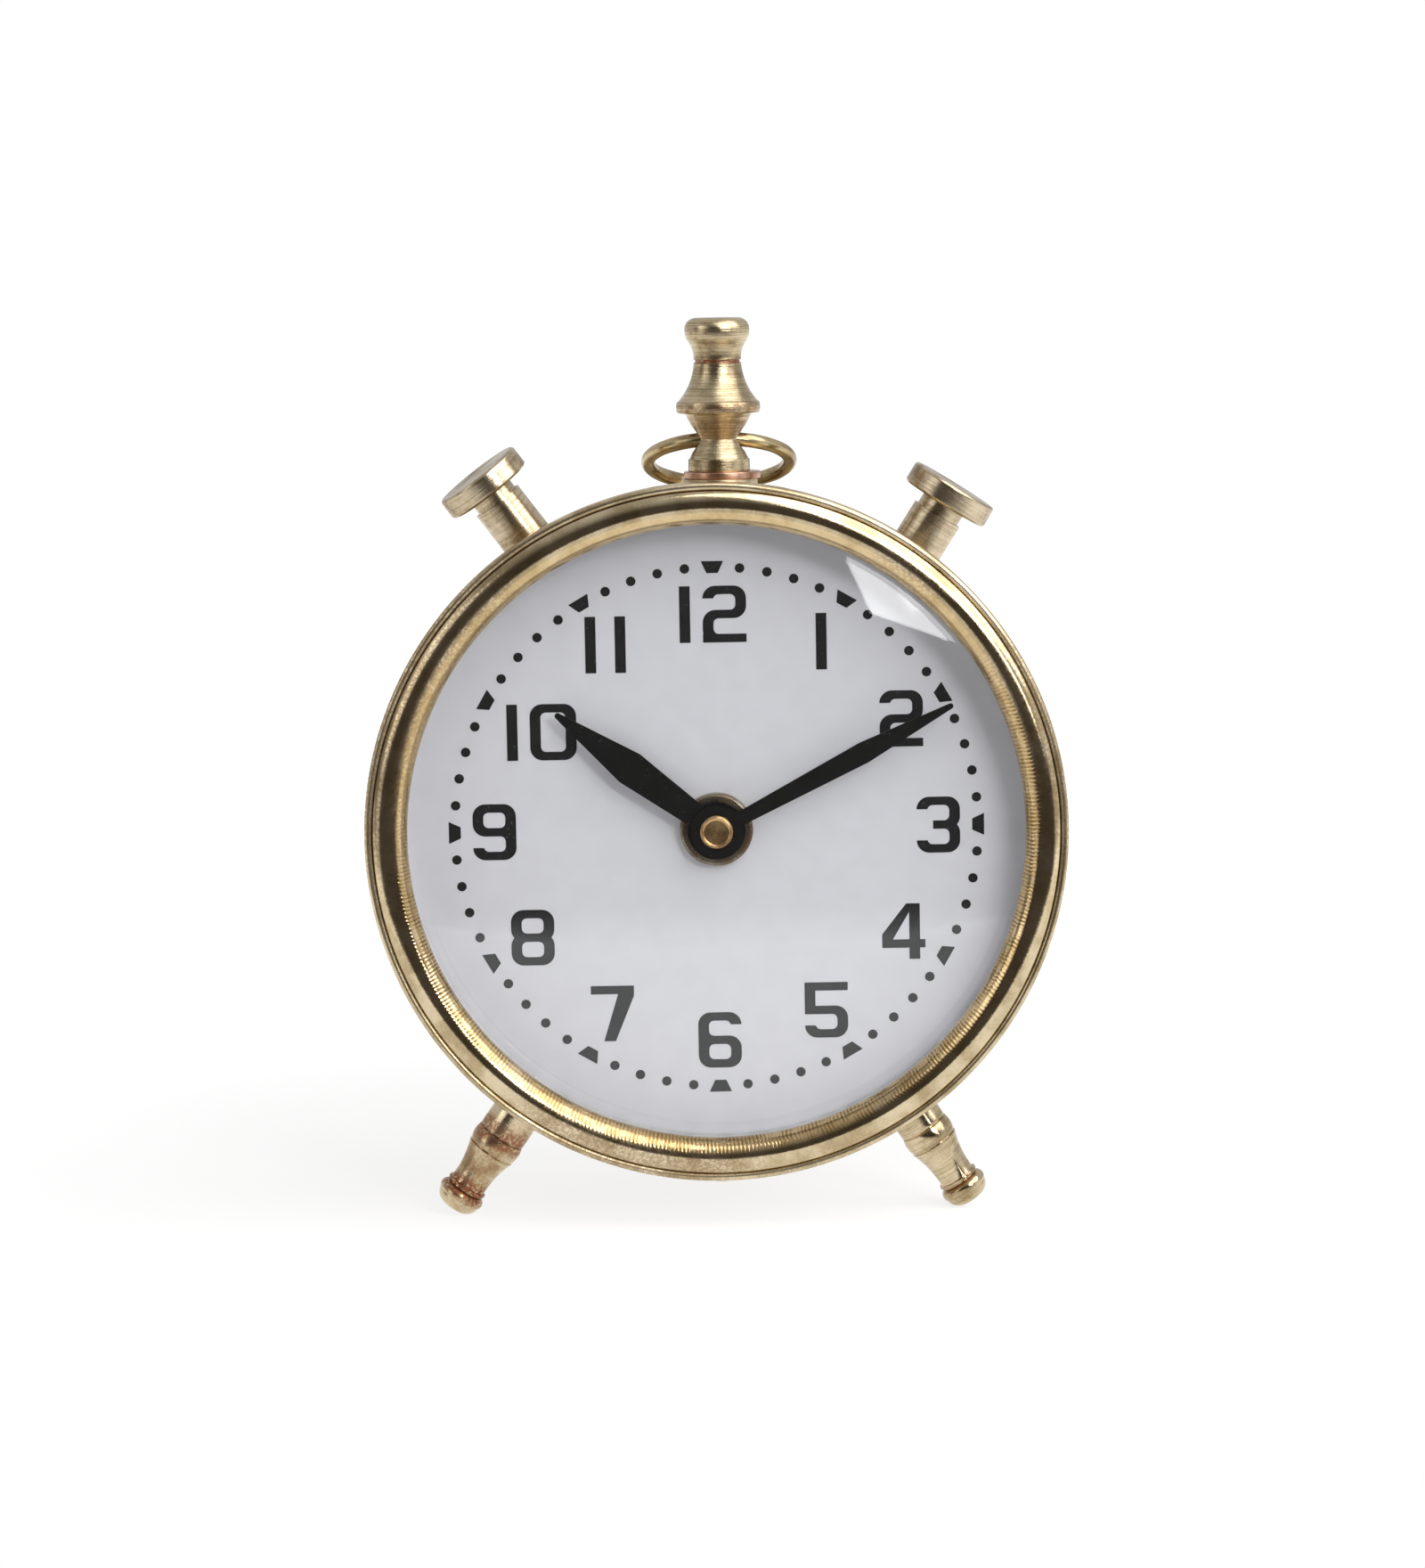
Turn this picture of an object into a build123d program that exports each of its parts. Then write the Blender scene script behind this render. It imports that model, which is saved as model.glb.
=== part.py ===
from build123d import *
from math import atan2, cos, degrees, pi, radians, sin, sqrt
import os

# A table clock in the form of a large pocket watch: a round brass drum on three turned legs, with a
# domed glass, a white dial, a finial with a loose bow ring, two push-pieces and a battery movement.
# Millimetres, +Z up. The dial faces -Y and +X is to the right of someone who looks at it. The origin is
# on the table, under the middle of the clock's width and depth.
# A depth is measured backwards from the front of the bezel, a radius from the middle of the face.

# Fits and gaps
running_gap = 0.05
seat_gap = 0.02
end_gap = 0.3
overrun = 2.0

# Drum, with a rolled rim in front that holds the bezel. The lift is from the table to the drum
drum_radius = 55.0
drum_lift = 12.0
drum_wall = 1.2
drum_back_depth = 44.0
rim_overhang = 3.7
rim_edge_radius = 0.7
rim_front_depth = 0.9
rim_back_depth = 6.2
shoulder_radius = 2.9
recess_depth = 5.0
ledge_width = 2.3
ledge_thickness = 1.2

# Bezel: a broad round on the outside, and from its crest a long curve inwards to the lip
crest_outer_width = 2.4
crest_outer_drop = 1.0
crest_width = 3.28
lip_front_depth = 3.0
lip_back_depth = 3.5

# Glass
glass_rise = 6.8
glass_thickness = 1.8
glass_overlap = 1.4
spacer_width = 1.3

# Dial and its print. The minute track is set in from the bezel's lip, and the numerals from the track
dial_front_depth = 9.9
dial_thickness = 0.8
dial_edge_gap = 0.1
print_thickness = 0.05
track_inset = 7.5
dot_radius = 0.8
marker_outer_width = 3.75
marker_inner_width = 1.9
marker_height = 2.0
numeral_height = 9.5
numeral_width = 7.3
zero_width = 7.8
side_stroke = 1.8
bar_stroke = 1.42
numeral_corner = 2.1
counter_corner = 0.9
stroke_end = 2.1
numeral_spacing = 2.1
eleven_spacing = 3.2
numeral_inset = 7.9
side_numeral_inset = 6.7
ten_inset = 10.5
seven_foot_left_share = 0.29
seven_foot_width_share = 0.27
seven_knee_share = 0.82
seven_shoulder_share = 0.37

# Hands. Angles are clockwise from twelve, and rises are in front of the dial
hand_thickness = 0.5
hour_hand_rise = 2.95
hour_hand_inset = 2.8
hour_hand_hub_radius = 4.85
hour_hand_root_width = 3.45
hour_hand_widest = 5.8
hour_hand_widest_at = 18.0
hour_hand_tip_radius = 0.5
hour_hand_angle = 307.0
minute_hand_rise = 3.95
minute_hand_hub_radius = 4.35
minute_hand_root_width = 2.1
minute_hand_widest = 3.6
minute_hand_widest_at = 28.0
minute_hand_tip_radius = 0.45
minute_hand_angle = 62.6
cap_radius = 2.78
cap_rise = 5.1
cap_rim_width = 0.35
cap_rim_height = 0.2
cap_thread_radius = 1.15
cap_crown_thickness = 0.4

# Finial, turned in one piece with its stud, on a pedestal and a washer, a little to the right of the top
finial_depth = 18.0
finial_shift = 1.5
finial_rise = 20.3
finial_top_radius = 3.7
finial_top_bow = 0.55
finial_head_radius = 5.45
finial_head_drop = 2.0
finial_head_bow = 0.2
finial_shoulder_radius = 4.8
finial_shoulder_drop = 4.1
finial_throat_bow = 0.25
finial_neck_radius = 4.0
finial_neck_drop = 7.0
finial_groove_depth = 0.25
finial_groove_height = 0.5
finial_collar_radius = 6.9
finial_collar_drop = 14.0
finial_collar_height = 1.9
finial_collar_bow = 0.35
finial_flare_radius = 6.75
finial_flare_bow = 0.6
finial_cone_radius = 5.7
waist_radius = 3.3
finial_foot_cone_radius = 5.0
finial_foot_cone_height = 3.3
finial_base_radius = 5.2
finial_base_height = 2.1
finial_washer_radius = 6.45
finial_washer_height = 1.2
finial_washer_shift = 0.5
pedestal_height = 3.5
finial_stud_radius = 2.0
stud_end_length = 1.0

# Bow ring, through a hole across the finial's waist
ring_radius = 12.15
ring_wire_radius = 1.2
ring_hole_gap = 0.2
ring_rest_gap = 0.3

# Legs. Lengths are from the foot's end, and the rear leg is set in from the drum's back
left_leg_angle = -144.7
right_leg_angle = 146.9
front_leg_depth = 16.2
rear_leg_inset = 4.5
foot_radius = 3.8
foot_length = 3.9
foot_end_radius = 1.6
foot_collar_radius = 3.55
foot_collar_start = 4.2
foot_collar_length = 0.5
leg_neck_radius = 3.15
leg_flare_radius = 4.25
leg_flare_end = 11.8
leg_flare_bow = 0.35
rear_leg_flare_end = 9.8
leg_groove_depth = 0.35
leg_groove_width = 0.3
leg_bead_end = 15.0
leg_bead_bow = 0.25
leg_shank_radius = 4.2
leg_stud_radius = 2.0

# Nuts inside the drum, on the studs of the legs and the finial
stud_nut_radius = 3.7
stud_nut_height = 2.4

# Push-pieces. The left and the right one differ in place, rise and lean, as hand work does
left_pusher_angle = -33.3
left_pusher_rise = 14.9
left_pusher_lean = -36.5
left_pusher_forward_lean = 5.0
right_pusher_angle = 36.2
right_pusher_rise = 13.3
right_pusher_lean = 32.5
right_pusher_forward_lean = 1.5
pusher_depth = 18.0
pusher_head_radius = 7.7
pusher_head_height = 3.7
pusher_head_edge = 0.35
pusher_neck_radius = 3.85
pusher_neck_guide = 3.4
pusher_travel = 1.8
pusher_rod_radius = 1.5
pusher_tube_radius = 4.4
pusher_tube_bore_length = 9.0
pusher_shank_radius = 3.0
pusher_shank_reach = 6.0
pusher_nut_radius = 5.2
pusher_nut_height = 2.5
clip_radius = 2.9
clip_thickness = 0.6
spring_radius = 2.7
spring_wire_radius = 0.3
spring_turn_count = 4

# Back cover, with a lip to pull it by and a notch in its skirt for the rear leg's nut
cover_overhang = 0.4
cover_thickness = 1.2
cover_skirt_length = 4.5
cover_skirt_wall = 1.1
cover_step_inset = 9.0
cover_step_height = 2.5
cover_lip_width = 9.0
cover_lip_reach = 2.4
cover_notch_width = 12.0

# Movement case, in two halves. Its width follows from the battery, and its depth is behind the washer
case_height = 56.0
case_depth = 16.0
case_front_half_depth = 8.0
case_corner = 4.0
case_wall = 1.3
case_front_wall = 1.2
washer_thickness = 0.5
washer_radius = 7.0
bush_radius = 4.0
bush_rise = 2.2
dial_nut_radius = 6.15
dial_nut_height = 2.0
dial_nut_edge = 0.4
bay_gap = 2.2
bay_wall_thickness = 1.2

# Battery, lying in a bay at the bottom of the movement
battery_radius = 7.1
battery_length = 49.2
battery_cap_radius = 2.6
battery_cap_length = 1.0
battery_edge = 0.6
contact_thickness = 0.3
contact_width = 9.0
positive_contact_reach = 1.1
negative_contact_reach = 2.1

# Gears: a trapezoid tooth, as shares of the module and of the tooth pitch
tooth_top_share = 0.8
tooth_foot_share = 1.2
tooth_root_width_share = 0.54
tooth_middle_width_share = 0.42
tooth_tip_width_share = 0.18
wheel_thickness = 0.6
pinion_length = 0.9
layer_step = 1.0

# Motion work between the minute and the hour hand, twelve to one. Each step back is from the front of
# the movement case, here and in the groups below
motion_module = 0.4
cannon_tooth_count = 10
motion_wheel_tooth_count = 30
motion_pinion_tooth_count = 8
hour_wheel_tooth_count = 32
setting_tooth_count = 10
hour_wheel_step_back = 1.55
motion_wheel_step_back = 2.7
minute_post_radius = 1.45
hour_pipe_wall = 0.8
motion_arbor_radius = 0.5
motion_pivot_depth = 0.8
motion_direction = -20.0
setting_direction = -10.0
setting_shaft_radius = 1.0
knob_radius = 7.0
knob_height = 3.5
knob_gap = 0.4
knob_flute_count = 24
knob_flute_radius = 0.55

# Going train from the rotor to the centre wheel, 1800 to one
train_module = 0.22
train_tooth_counts = {
    "centre": (64, 0),
    "third": (60, 8),
    "second": (60, 8),
    "first": (50, 10),
    "rotor": (0, 10),
}
train_directions = {"third": 150.0, "second": 95.0, "first": 5.0, "rotor": 0.0}
train_step_back = 5.3
arbor_radius = 0.4
centre_arbor_radius = 0.5
centre_arbor_reach = 4.3
magnet_radius = 2.8
magnet_step_back = 5.6
magnet_height = 2.0

# Plates that carry the pivots, whose bottom is just above the battery bay
plate_left = -17.0
plate_right = 21.0
plate_top = 17.2
plate_corner = 2.0
gear_plate_step_back = 3.9
gear_plate_thickness = 1.0
bridge_step_back = 9.7
bridge_thickness = 0.8
post_radius = 1.3
post_inset = 1.7
upper_right_post_height = 3.5
screw_head_radius = 1.2
screw_head_height = 0.6
screw_radius = 0.6
screw_length = 3.0

# Coil and stator round the rotor
stator_step_back = 6.1
stator_thickness = 1.0
stator_gap = 0.5
stator_ring_width = 1.9
stator_arm_width = 3.6
stator_side_gap = 2.1
stator_top_gap = 3.5
core_height = 2.4
bobbin_gap = 0.5
bobbin_radius = 3.3
bobbin_flange = 0.6
winding_radius = 2.9

# Circuit board
board_step_back = 11.4
board_thickness = 0.8
board_width = 34.0
board_height = 15.0
board_x = 3.5
board_z = 6.5
board_corner = 1.0
board_post_radius = 1.0
board_post_inset = 2.2
crystal_radius = 1.0
crystal_length = 6.0
crystal_x = -3.0
crystal_z = 10.5
chip_radius = 3.0
chip_top_radius = 2.2
chip_height = 1.0
chip_x = 6.0
chip_z = 5.0

# Derived places
face_height = drum_radius + drum_lift
drum_bore = drum_radius - drum_wall
rim_radius = drum_radius + rim_overhang
rim_back_radius = drum_radius + shoulder_radius
rim_inner_radius = rim_radius - 2 * rim_edge_radius
bezel_radius = rim_inner_radius - seat_gap
crest_radius = bezel_radius - crest_outer_width
lip_radius = crest_radius - crest_width
track_radius = lip_radius - track_inset
numeral_radius = track_radius - numeral_inset
dial_back_depth = dial_front_depth + dial_thickness
hour_hand_depth = dial_front_depth - hour_hand_rise
minute_hand_depth = dial_front_depth - minute_hand_rise
cap_depth = dial_front_depth - cap_rise
glass_sphere = (lip_radius**2 + glass_rise**2) / (2 * glass_rise)
glass_front_depth = lip_back_depth + seat_gap - glass_rise
back_depth = drum_back_depth + cover_thickness + cover_step_height
middle_depth = (glass_front_depth + back_depth) / 2
case_front_depth = dial_back_depth + washer_thickness
case_split_depth = case_front_depth + case_front_half_depth
case_back_depth = case_front_depth + case_depth
hour_wheel_depth = case_front_depth + hour_wheel_step_back
motion_wheel_depth = case_front_depth + motion_wheel_step_back
gear_plate_depth = case_front_depth + gear_plate_step_back
train_first_depth = case_front_depth + train_step_back
magnet_depth = case_front_depth + magnet_step_back
stator_depth = case_front_depth + stator_step_back
bridge_depth = case_front_depth + bridge_step_back
board_depth = case_front_depth + board_step_back
bay_length = negative_contact_reach + battery_length + battery_cap_length + positive_contact_reach
case_width = bay_length + 2 * case_wall
inner_half_width = bay_length / 2
inner_half_height = case_height / 2 - case_wall
bay_floor = -inner_half_height
bay_wall_low = bay_floor + 2 * battery_radius + bay_gap
bay_wall_height = bay_wall_low + bay_wall_thickness
plate_bottom = bay_wall_height + end_gap
stator_right = inner_half_width - stator_side_gap
stator_top = inner_half_height - stator_top_gap
finial_washer_bottom = drum_radius + pedestal_height
finial_washer_top = finial_washer_bottom + finial_washer_height
finial_base_top = finial_washer_top + finial_base_height
waist_height = finial_base_top + finial_foot_cone_height
finial_top = waist_height + finial_rise
post_places = [
    (plate_left + post_inset, plate_bottom + post_inset),
    (plate_left + post_inset, plate_top - post_inset),
    (plate_right - post_inset, plate_bottom + post_inset),
    (plate_right - post_inset, upper_right_post_height),
]

# The face seen from in front: x to the right, y up, and depth along -z
face = Location((0, -middle_depth, face_height), (90, 0, 0))


def save(name, shape):
    """Write one named node."""
    export_step(shape, f"parts/{name}.step")


def outline(start, *steps):
    """A closed face. A step of two numbers is a straight run to that point. A step of three numbers is
    an arc to it, and the third is the arc's rise to the right of the way it goes."""
    edges = []
    here = start
    for step in steps + (start,):
        x, y = step[:2]
        run_x, run_y = x - here[0], y - here[1]
        length = sqrt(run_x**2 + run_y**2)
        if len(step) == 3:
            rise = step[2] / length
            middle = (here[0] + run_x / 2 + run_y * rise, here[1] + run_y / 2 - run_x * rise)
            edges.append(ThreePointArc(here, middle, (x, y)))
        elif length > 0:
            edges.append(Line(here, (x, y)))
        here = (x, y)
    return make_face(edges)


def turned(profile):
    """Spin an outline of (radius, height) about the Z axis."""
    return revolve(Plane.XZ * profile, Axis.Z)


def spun(start, *steps):
    """Spin an outline of (radius, depth) about the middle of the face."""
    return face * mirror(turned(outline(start, *steps)), Plane.XY)


def slab(sketch, near, far):
    """A sketch in the front view, solid between two depths."""
    return face * Pos(0, 0, -far) * extrude(sketch, far - near)


def disc(place, radius, near, far):
    """A round rod along the depth, at a place in the front view."""
    return slab(Pos(*place) * Circle(radius), near, far)


def box_between(left, right, low, high, near, far):
    """A box in the front view."""
    middle = Pos((left + right) / 2, (low + high) / 2)
    return slab(middle * Rectangle(right - left, high - low), near, far)


def plate(near, far):
    """The outline that both pivot plates share."""
    middle = Pos((plate_left + plate_right) / 2, (plate_bottom + plate_top) / 2)
    width, height = plate_right - plate_left, plate_top - plate_bottom
    return slab(middle * RectangleRounded(width, height, plate_corner), near, far)


def radial(angle, depth):
    """A frame whose Z axis points out from the middle of the face, clockwise from the top."""
    return Location((0, depth - middle_depth, face_height), (0, angle, 0))


def upright(radius, low, high):
    """A plain round rod along a frame's Z axis."""
    return Pos(0, 0, low) * Cylinder(radius, high - low, align=(Align.CENTER, Align.CENTER, Align.MIN))


def drum_cylinder(radius):
    """The drum's whole round body at a radius, to cut saddles with."""
    return disc((0, 0), radius, -overrun, drum_back_depth + overrun)


def wall_sagitta(radius):
    """The radius inside the drum where a flat face of this radius clears the wall."""
    return sqrt(drum_bore**2 - radius**2) - seat_gap


def nut(radius, hole_radius, low, high):
    """A hexagon nut along a frame's Z axis."""
    hexagon = RegularPolygon(radius, 6) - Circle(hole_radius)
    return Pos(0, 0, low) * extrude(hexagon, high - low)


# Numerals, each drawn about its own middle line with its foot at zero
def loop(width, low, high):
    """A rounded loop of a numeral."""
    outer = RectangleRounded(width, high - low, numeral_corner)
    inner = RectangleRounded(width - 2 * side_stroke, high - low - 2 * bar_stroke, counter_corner)
    return Pos(0, (low + high) / 2) * (outer - inner)


def block(left, right, low, high):
    """A rectangle between four edges."""
    return Pos((left + right) / 2, (low + high) / 2) * Rectangle(right - left, high - low)


def digit(figure):
    """One figure of the hour numerals."""
    half = numeral_width / 2
    middle = numeral_height / 2
    bar_low, bar_high = middle - bar_stroke / 2, middle + bar_stroke / 2
    lower = loop(numeral_width, 0, bar_high)
    upper = loop(numeral_width, bar_low, numeral_height)
    upper_hook = upper - block(-half, 0, bar_low, numeral_height - stroke_end)
    stroke_side = half - side_stroke
    if figure == 0:
        return loop(zero_width, 0, numeral_height)
    if figure == 1:
        return block(-side_stroke / 2, side_stroke / 2, 0, numeral_height)
    if figure == 2:
        foot = lower - block(0, half, bar_stroke, bar_high)
        return upper_hook + foot + block(-half, half, 0, bar_stroke)
    if figure == 3:
        lower_hook = lower - block(-half, 0, stroke_end, bar_high)
        return upper_hook + lower_hook + block(-side_stroke / 2, 0, bar_low, bar_high)
    if figure == 4:
        bar_foot = 2 * bar_stroke - side_stroke / 2
        bar_top = bar_foot + bar_stroke
        post_right = half - side_stroke / 2
        post_left = post_right - side_stroke
        slope = outline(
            (-half, bar_foot),
            (post_left, bar_foot),
            (post_left, bar_top),
            (side_stroke - half, bar_top),
            (post_left, numeral_height - bar_stroke),
            (post_right, numeral_height - bar_stroke),
            (post_right, numeral_height),
            (side_stroke / 4, numeral_height),
            (-half, bar_top + side_stroke / 2),
        )
        post = block(post_left, post_right, 0, numeral_height)
        return block(-half, half, bar_foot, bar_top) + slope + post
    if figure == 5:
        bowl = lower - block(-half, 0, stroke_end, bar_low)
        post = block(-half, -stroke_side, bar_low, numeral_height)
        return bowl + post + block(-half, half, numeral_height - bar_stroke, numeral_height)
    if figure == 6:
        tail = upper - block(0, half, bar_low, numeral_height - stroke_end)
        return lower + tail + block(-half, -stroke_side, middle - stroke_end, middle + stroke_end)
    if figure == 7:
        foot_left = seven_foot_left_share * numeral_width - half
        slope = outline(
            (foot_left, 0),
            (foot_left + seven_foot_width_share * numeral_width, 0),
            (half, seven_knee_share * numeral_height),
            (half, numeral_height),
            (half - seven_shoulder_share * numeral_width, numeral_height - bar_stroke),
        )
        return slope + block(-half, half, numeral_height - bar_stroke, numeral_height)
    if figure == 8:
        return lower + upper
    return Pos(0, numeral_height) * Rot(0, 0, 180) * digit(6)


def numeral(hour):
    """The figures of an hour, about their common middle."""
    figures = [int(figure) for figure in str(hour)]
    widths = [{0: zero_width, 1: side_stroke}.get(figure, numeral_width) for figure in figures]
    spacing = eleven_spacing if hour == 11 else numeral_spacing
    left = -(sum(widths) + spacing * (len(figures) - 1)) / 2
    drawn = Sketch()
    for figure, width in zip(figures, widths):
        drawn += Pos(left + width / 2, -numeral_height / 2) * digit(figure)
        left += width + spacing
    return drawn


def around(hour, radius):
    """The place of an hour on a circle in the front view."""
    angle = radians(hour * 360 / 12)
    return Pos(radius * sin(angle), radius * cos(angle))


def hand(angle, length, hub_radius, root_width, widest, widest_at, tip_radius, bore, near):
    """A flat lozenge hand with a round hub."""
    blade = Polyline(
        (-root_width / 2, 0),
        (-widest / 2, widest_at),
        (-tip_radius, length - tip_radius),
        (tip_radius, length - tip_radius),
        (widest / 2, widest_at),
        (root_width / 2, 0),
        close=True,
    )
    shape = make_face(blade) + Circle(hub_radius) + Pos(0, length - tip_radius) * Circle(tip_radius)
    return slab(Rot(0, 0, -angle) * (shape - Circle(bore)), near, near + hand_thickness)


# Gears, drawn in the front view with angles anticlockwise from +x
def gear(teeth, module, phase):
    """A gear's outline with one tooth pointing along its phase angle."""
    pitch_radius = module * teeth / 2
    root = pitch_radius - tooth_foot_share * module
    tip = pitch_radius + tooth_top_share * module
    corners = [
        (root, -tooth_root_width_share / 2),
        (pitch_radius, -tooth_middle_width_share / 2),
        (tip, -tooth_tip_width_share / 2),
        (tip, tooth_tip_width_share / 2),
        (pitch_radius, tooth_middle_width_share / 2),
        (root, tooth_root_width_share / 2),
    ]
    points = []
    for tooth in range(teeth):
        for radius, share in corners:
            angle = radians(phase) + (tooth + share) * 2 * pi / teeth
            points.append((radius * cos(angle), radius * sin(angle)))
    return make_face(Polyline(*points, close=True))


def meshing_phase(other_phase, other_teeth, direction, teeth):
    """The phase of a gear that lies along direction from another gear and meshes with it."""
    shift = 0.5 - (other_phase - direction) * other_teeth / 360
    return direction + 180 + shift * 360 / teeth


def step_from(place, distance, direction):
    """The place at a distance and direction from another place."""
    angle = radians(direction)
    return place[0] + distance * cos(angle), place[1] + distance * sin(angle)


def wheel(place, teeth, module, phase, near, thickness):
    """A toothed disc at a place."""
    return slab(Pos(*place) * gear(teeth, module, phase), near, near + thickness)


# A coiled wire spring along Z
def spring(radius, wire_radius, low, high, turns):
    """One unbroken wire whose quarter turns are pairs of arcs, and its least gap to itself."""
    quarters = 4 * turns
    climb = (high - low - 2 * wire_radius) / quarters
    slope = climb * 2 / (pi * radius)
    knots = []
    for quarter in range(quarters + 1):
        angle = quarter * pi / 2
        height = low + wire_radius + climb * quarter
        place = Vector(radius * cos(angle), radius * sin(angle), height)
        heading = Vector(-sin(angle), cos(angle), slope).normalized()
        knots.append((place, heading))
    first, heading = knots[0]
    lead = first - heading * 2 * wire_radius
    edges = [Line(lead, first)]
    for (start, out_way), (end, in_way) in zip(knots, knots[1:]):
        across = end - start
        both = out_way + in_way
        spread = 2 * (1 - out_way.dot(in_way))
        reach = (sqrt(across.dot(both) ** 2 + spread * across.dot(across)) - across.dot(both)) / spread
        joint = (start + end + (out_way - in_way) * reach) * 0.5
        edges.append(TangentArc(start, joint, tangent=out_way))
        edges.append(TangentArc(joint, end, tangent=across - both * reach))
    last, last_heading = knots[-1]
    edges.append(Line(last, last + last_heading * 2 * wire_radius))
    path = Wire(edges)
    section = Plane(origin=lead, z_dir=heading) * Circle(wire_radius)
    samples = [path @ (index / (16 * quarters)) for index in range(16 * quarters + 1)]
    apart = 32
    gap = min(
        (samples[one] - samples[two]).length
        for one in range(len(samples))
        for two in range(one + apart, len(samples))
    )
    print(f"spring: least gap to itself {gap - 2 * wire_radius:.2f} mm")
    return sweep(section, path=path)


# Drum
shoulder_rise = shoulder_radius * (1 - sqrt(0.5))
edge_depth = rim_front_depth + rim_edge_radius
ledge_radius = drum_bore - ledge_width
ledge_back_depth = dial_back_depth + ledge_thickness
drum = spun(
    (rim_inner_radius, edge_depth),
    (rim_radius, edge_depth, rim_edge_radius),
    (rim_radius, rim_back_depth - (rim_radius - rim_back_radius)),
    (rim_back_radius, rim_back_depth),
    (drum_radius, rim_back_depth + shoulder_radius, -shoulder_rise),
    (drum_radius, drum_back_depth),
    (drum_bore, drum_back_depth),
    (drum_bore, ledge_back_depth),
    (ledge_radius, ledge_back_depth),
    (ledge_radius, dial_back_depth),
    (drum_bore, dial_back_depth),
    (drum_bore, recess_depth),
    (rim_inner_radius, recess_depth),
)

# Bezel and glass


def level_arc_rise(width, drop):
    """How far an arc that starts level at the crest bows out from its chord."""
    chord_squared = width**2 + drop**2
    radius = chord_squared / (2 * drop)
    return radius - sqrt(radius**2 - chord_squared / 4)


glass_radius = lip_radius + glass_overlap
glass_seat_radius = glass_radius + seat_gap
bezel = spun(
    (bezel_radius, recess_depth),
    (bezel_radius, crest_outer_drop),
    (crest_radius, 0, -level_arc_rise(crest_outer_width, crest_outer_drop)),
    (lip_radius, lip_front_depth, -level_arc_rise(crest_width, lip_front_depth)),
    (lip_radius, lip_back_depth),
    (glass_seat_radius, lip_back_depth),
    (glass_seat_radius, recess_depth),
)
save("bezel_ring", bezel)


def sphere_depth(radius, sphere):
    """The depth of a glass surface at a radius from the middle."""
    return glass_front_depth + glass_sphere - sqrt(sphere**2 - radius**2)


def sphere_rise(radius, sphere):
    """The rise of the arc from the middle of a glass surface to a radius."""
    half_chord_angle = atan2(radius, sqrt(sphere**2 - radius**2)) / 2
    return sphere * (1 - cos(half_chord_angle))


inner_sphere = glass_sphere - glass_thickness
glass_edge_front = sphere_depth(glass_radius, glass_sphere)
glass_edge_back = sphere_depth(glass_radius, inner_sphere)
glass = spun(
    (0, glass_front_depth),
    (glass_radius, glass_edge_front, sphere_rise(glass_radius, glass_sphere)),
    (glass_radius, glass_edge_back),
    (0, glass_front_depth + glass_thickness, -sphere_rise(glass_radius, inner_sphere)),
)
save("glass_dome", glass)
spacer_radius = drum_bore - dial_edge_gap
spacer = spun(
    (spacer_radius, glass_edge_back),
    (spacer_radius, dial_front_depth),
    (spacer_radius - spacer_width, dial_front_depth),
    (spacer_radius - spacer_width, glass_edge_back),
)
save("glass_spacer_ring", spacer)

# Dial and print
dial_sketch = Circle(drum_bore - dial_edge_gap) - Circle(bush_radius + running_gap)
save("dial_plate", slab(dial_sketch, dial_front_depth, dial_back_depth))
print_depth = dial_front_depth - print_thickness
hour_insets = {3: side_numeral_inset, 9: side_numeral_inset, 10: ten_inset}
numerals = [
    around(hour, track_radius - hour_insets.get(hour, numeral_inset)) * numeral(hour)
    for hour in range(1, 13)
]
save("hour_numerals", Compound(children=[slab(one, print_depth, dial_front_depth) for one in numerals]))
marker = outline(
    (-marker_inner_width / 2, -marker_height / 2),
    (marker_inner_width / 2, -marker_height / 2),
    (marker_outer_width / 2, marker_height / 2),
    (-marker_outer_width / 2, marker_height / 2),
)
markers = [around(hour, track_radius) * Rot(0, 0, -hour * 30) * marker for hour in range(12)]
save("hour_markers", Compound(children=[slab(one, print_depth, dial_front_depth) for one in markers]))
dots = [around(minute / 5, track_radius) * Circle(dot_radius) for minute in range(60) if minute % 5]
save("minute_dots", Compound(children=[slab(one, print_depth, dial_front_depth) for one in dots]))

# Hands, cap and the pipes that carry them
hour_pipe_bore = minute_post_radius + running_gap
hour_pipe_radius = hour_pipe_bore + hour_pipe_wall
hour_hand = hand(
    hour_hand_angle,
    numeral_radius - hour_hand_inset,
    hour_hand_hub_radius,
    hour_hand_root_width,
    hour_hand_widest,
    hour_hand_widest_at,
    hour_hand_tip_radius,
    hour_pipe_radius + seat_gap,
    hour_hand_depth,
)
save("hour_hand", hour_hand)
minute_hand = hand(
    minute_hand_angle,
    track_radius + dot_radius,
    minute_hand_hub_radius,
    minute_hand_root_width,
    minute_hand_widest,
    minute_hand_widest_at,
    minute_hand_tip_radius,
    cap_thread_radius + seat_gap,
    minute_hand_depth,
)
save("minute_hand", minute_hand)
cap = spun(
    (0, cap_depth + cap_rim_height),
    (cap_radius - cap_rim_width, cap_depth + cap_rim_height),
    (cap_radius - cap_rim_width, cap_depth),
    (cap_radius, cap_depth),
    (cap_radius, minute_hand_depth),
    (cap_thread_radius + seat_gap, minute_hand_depth),
    (cap_thread_radius + seat_gap, cap_depth + cap_rim_height + cap_crown_thickness),
    (0, cap_depth + cap_rim_height + cap_crown_thickness),
)
save("hand_cap_nut", cap)

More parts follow.
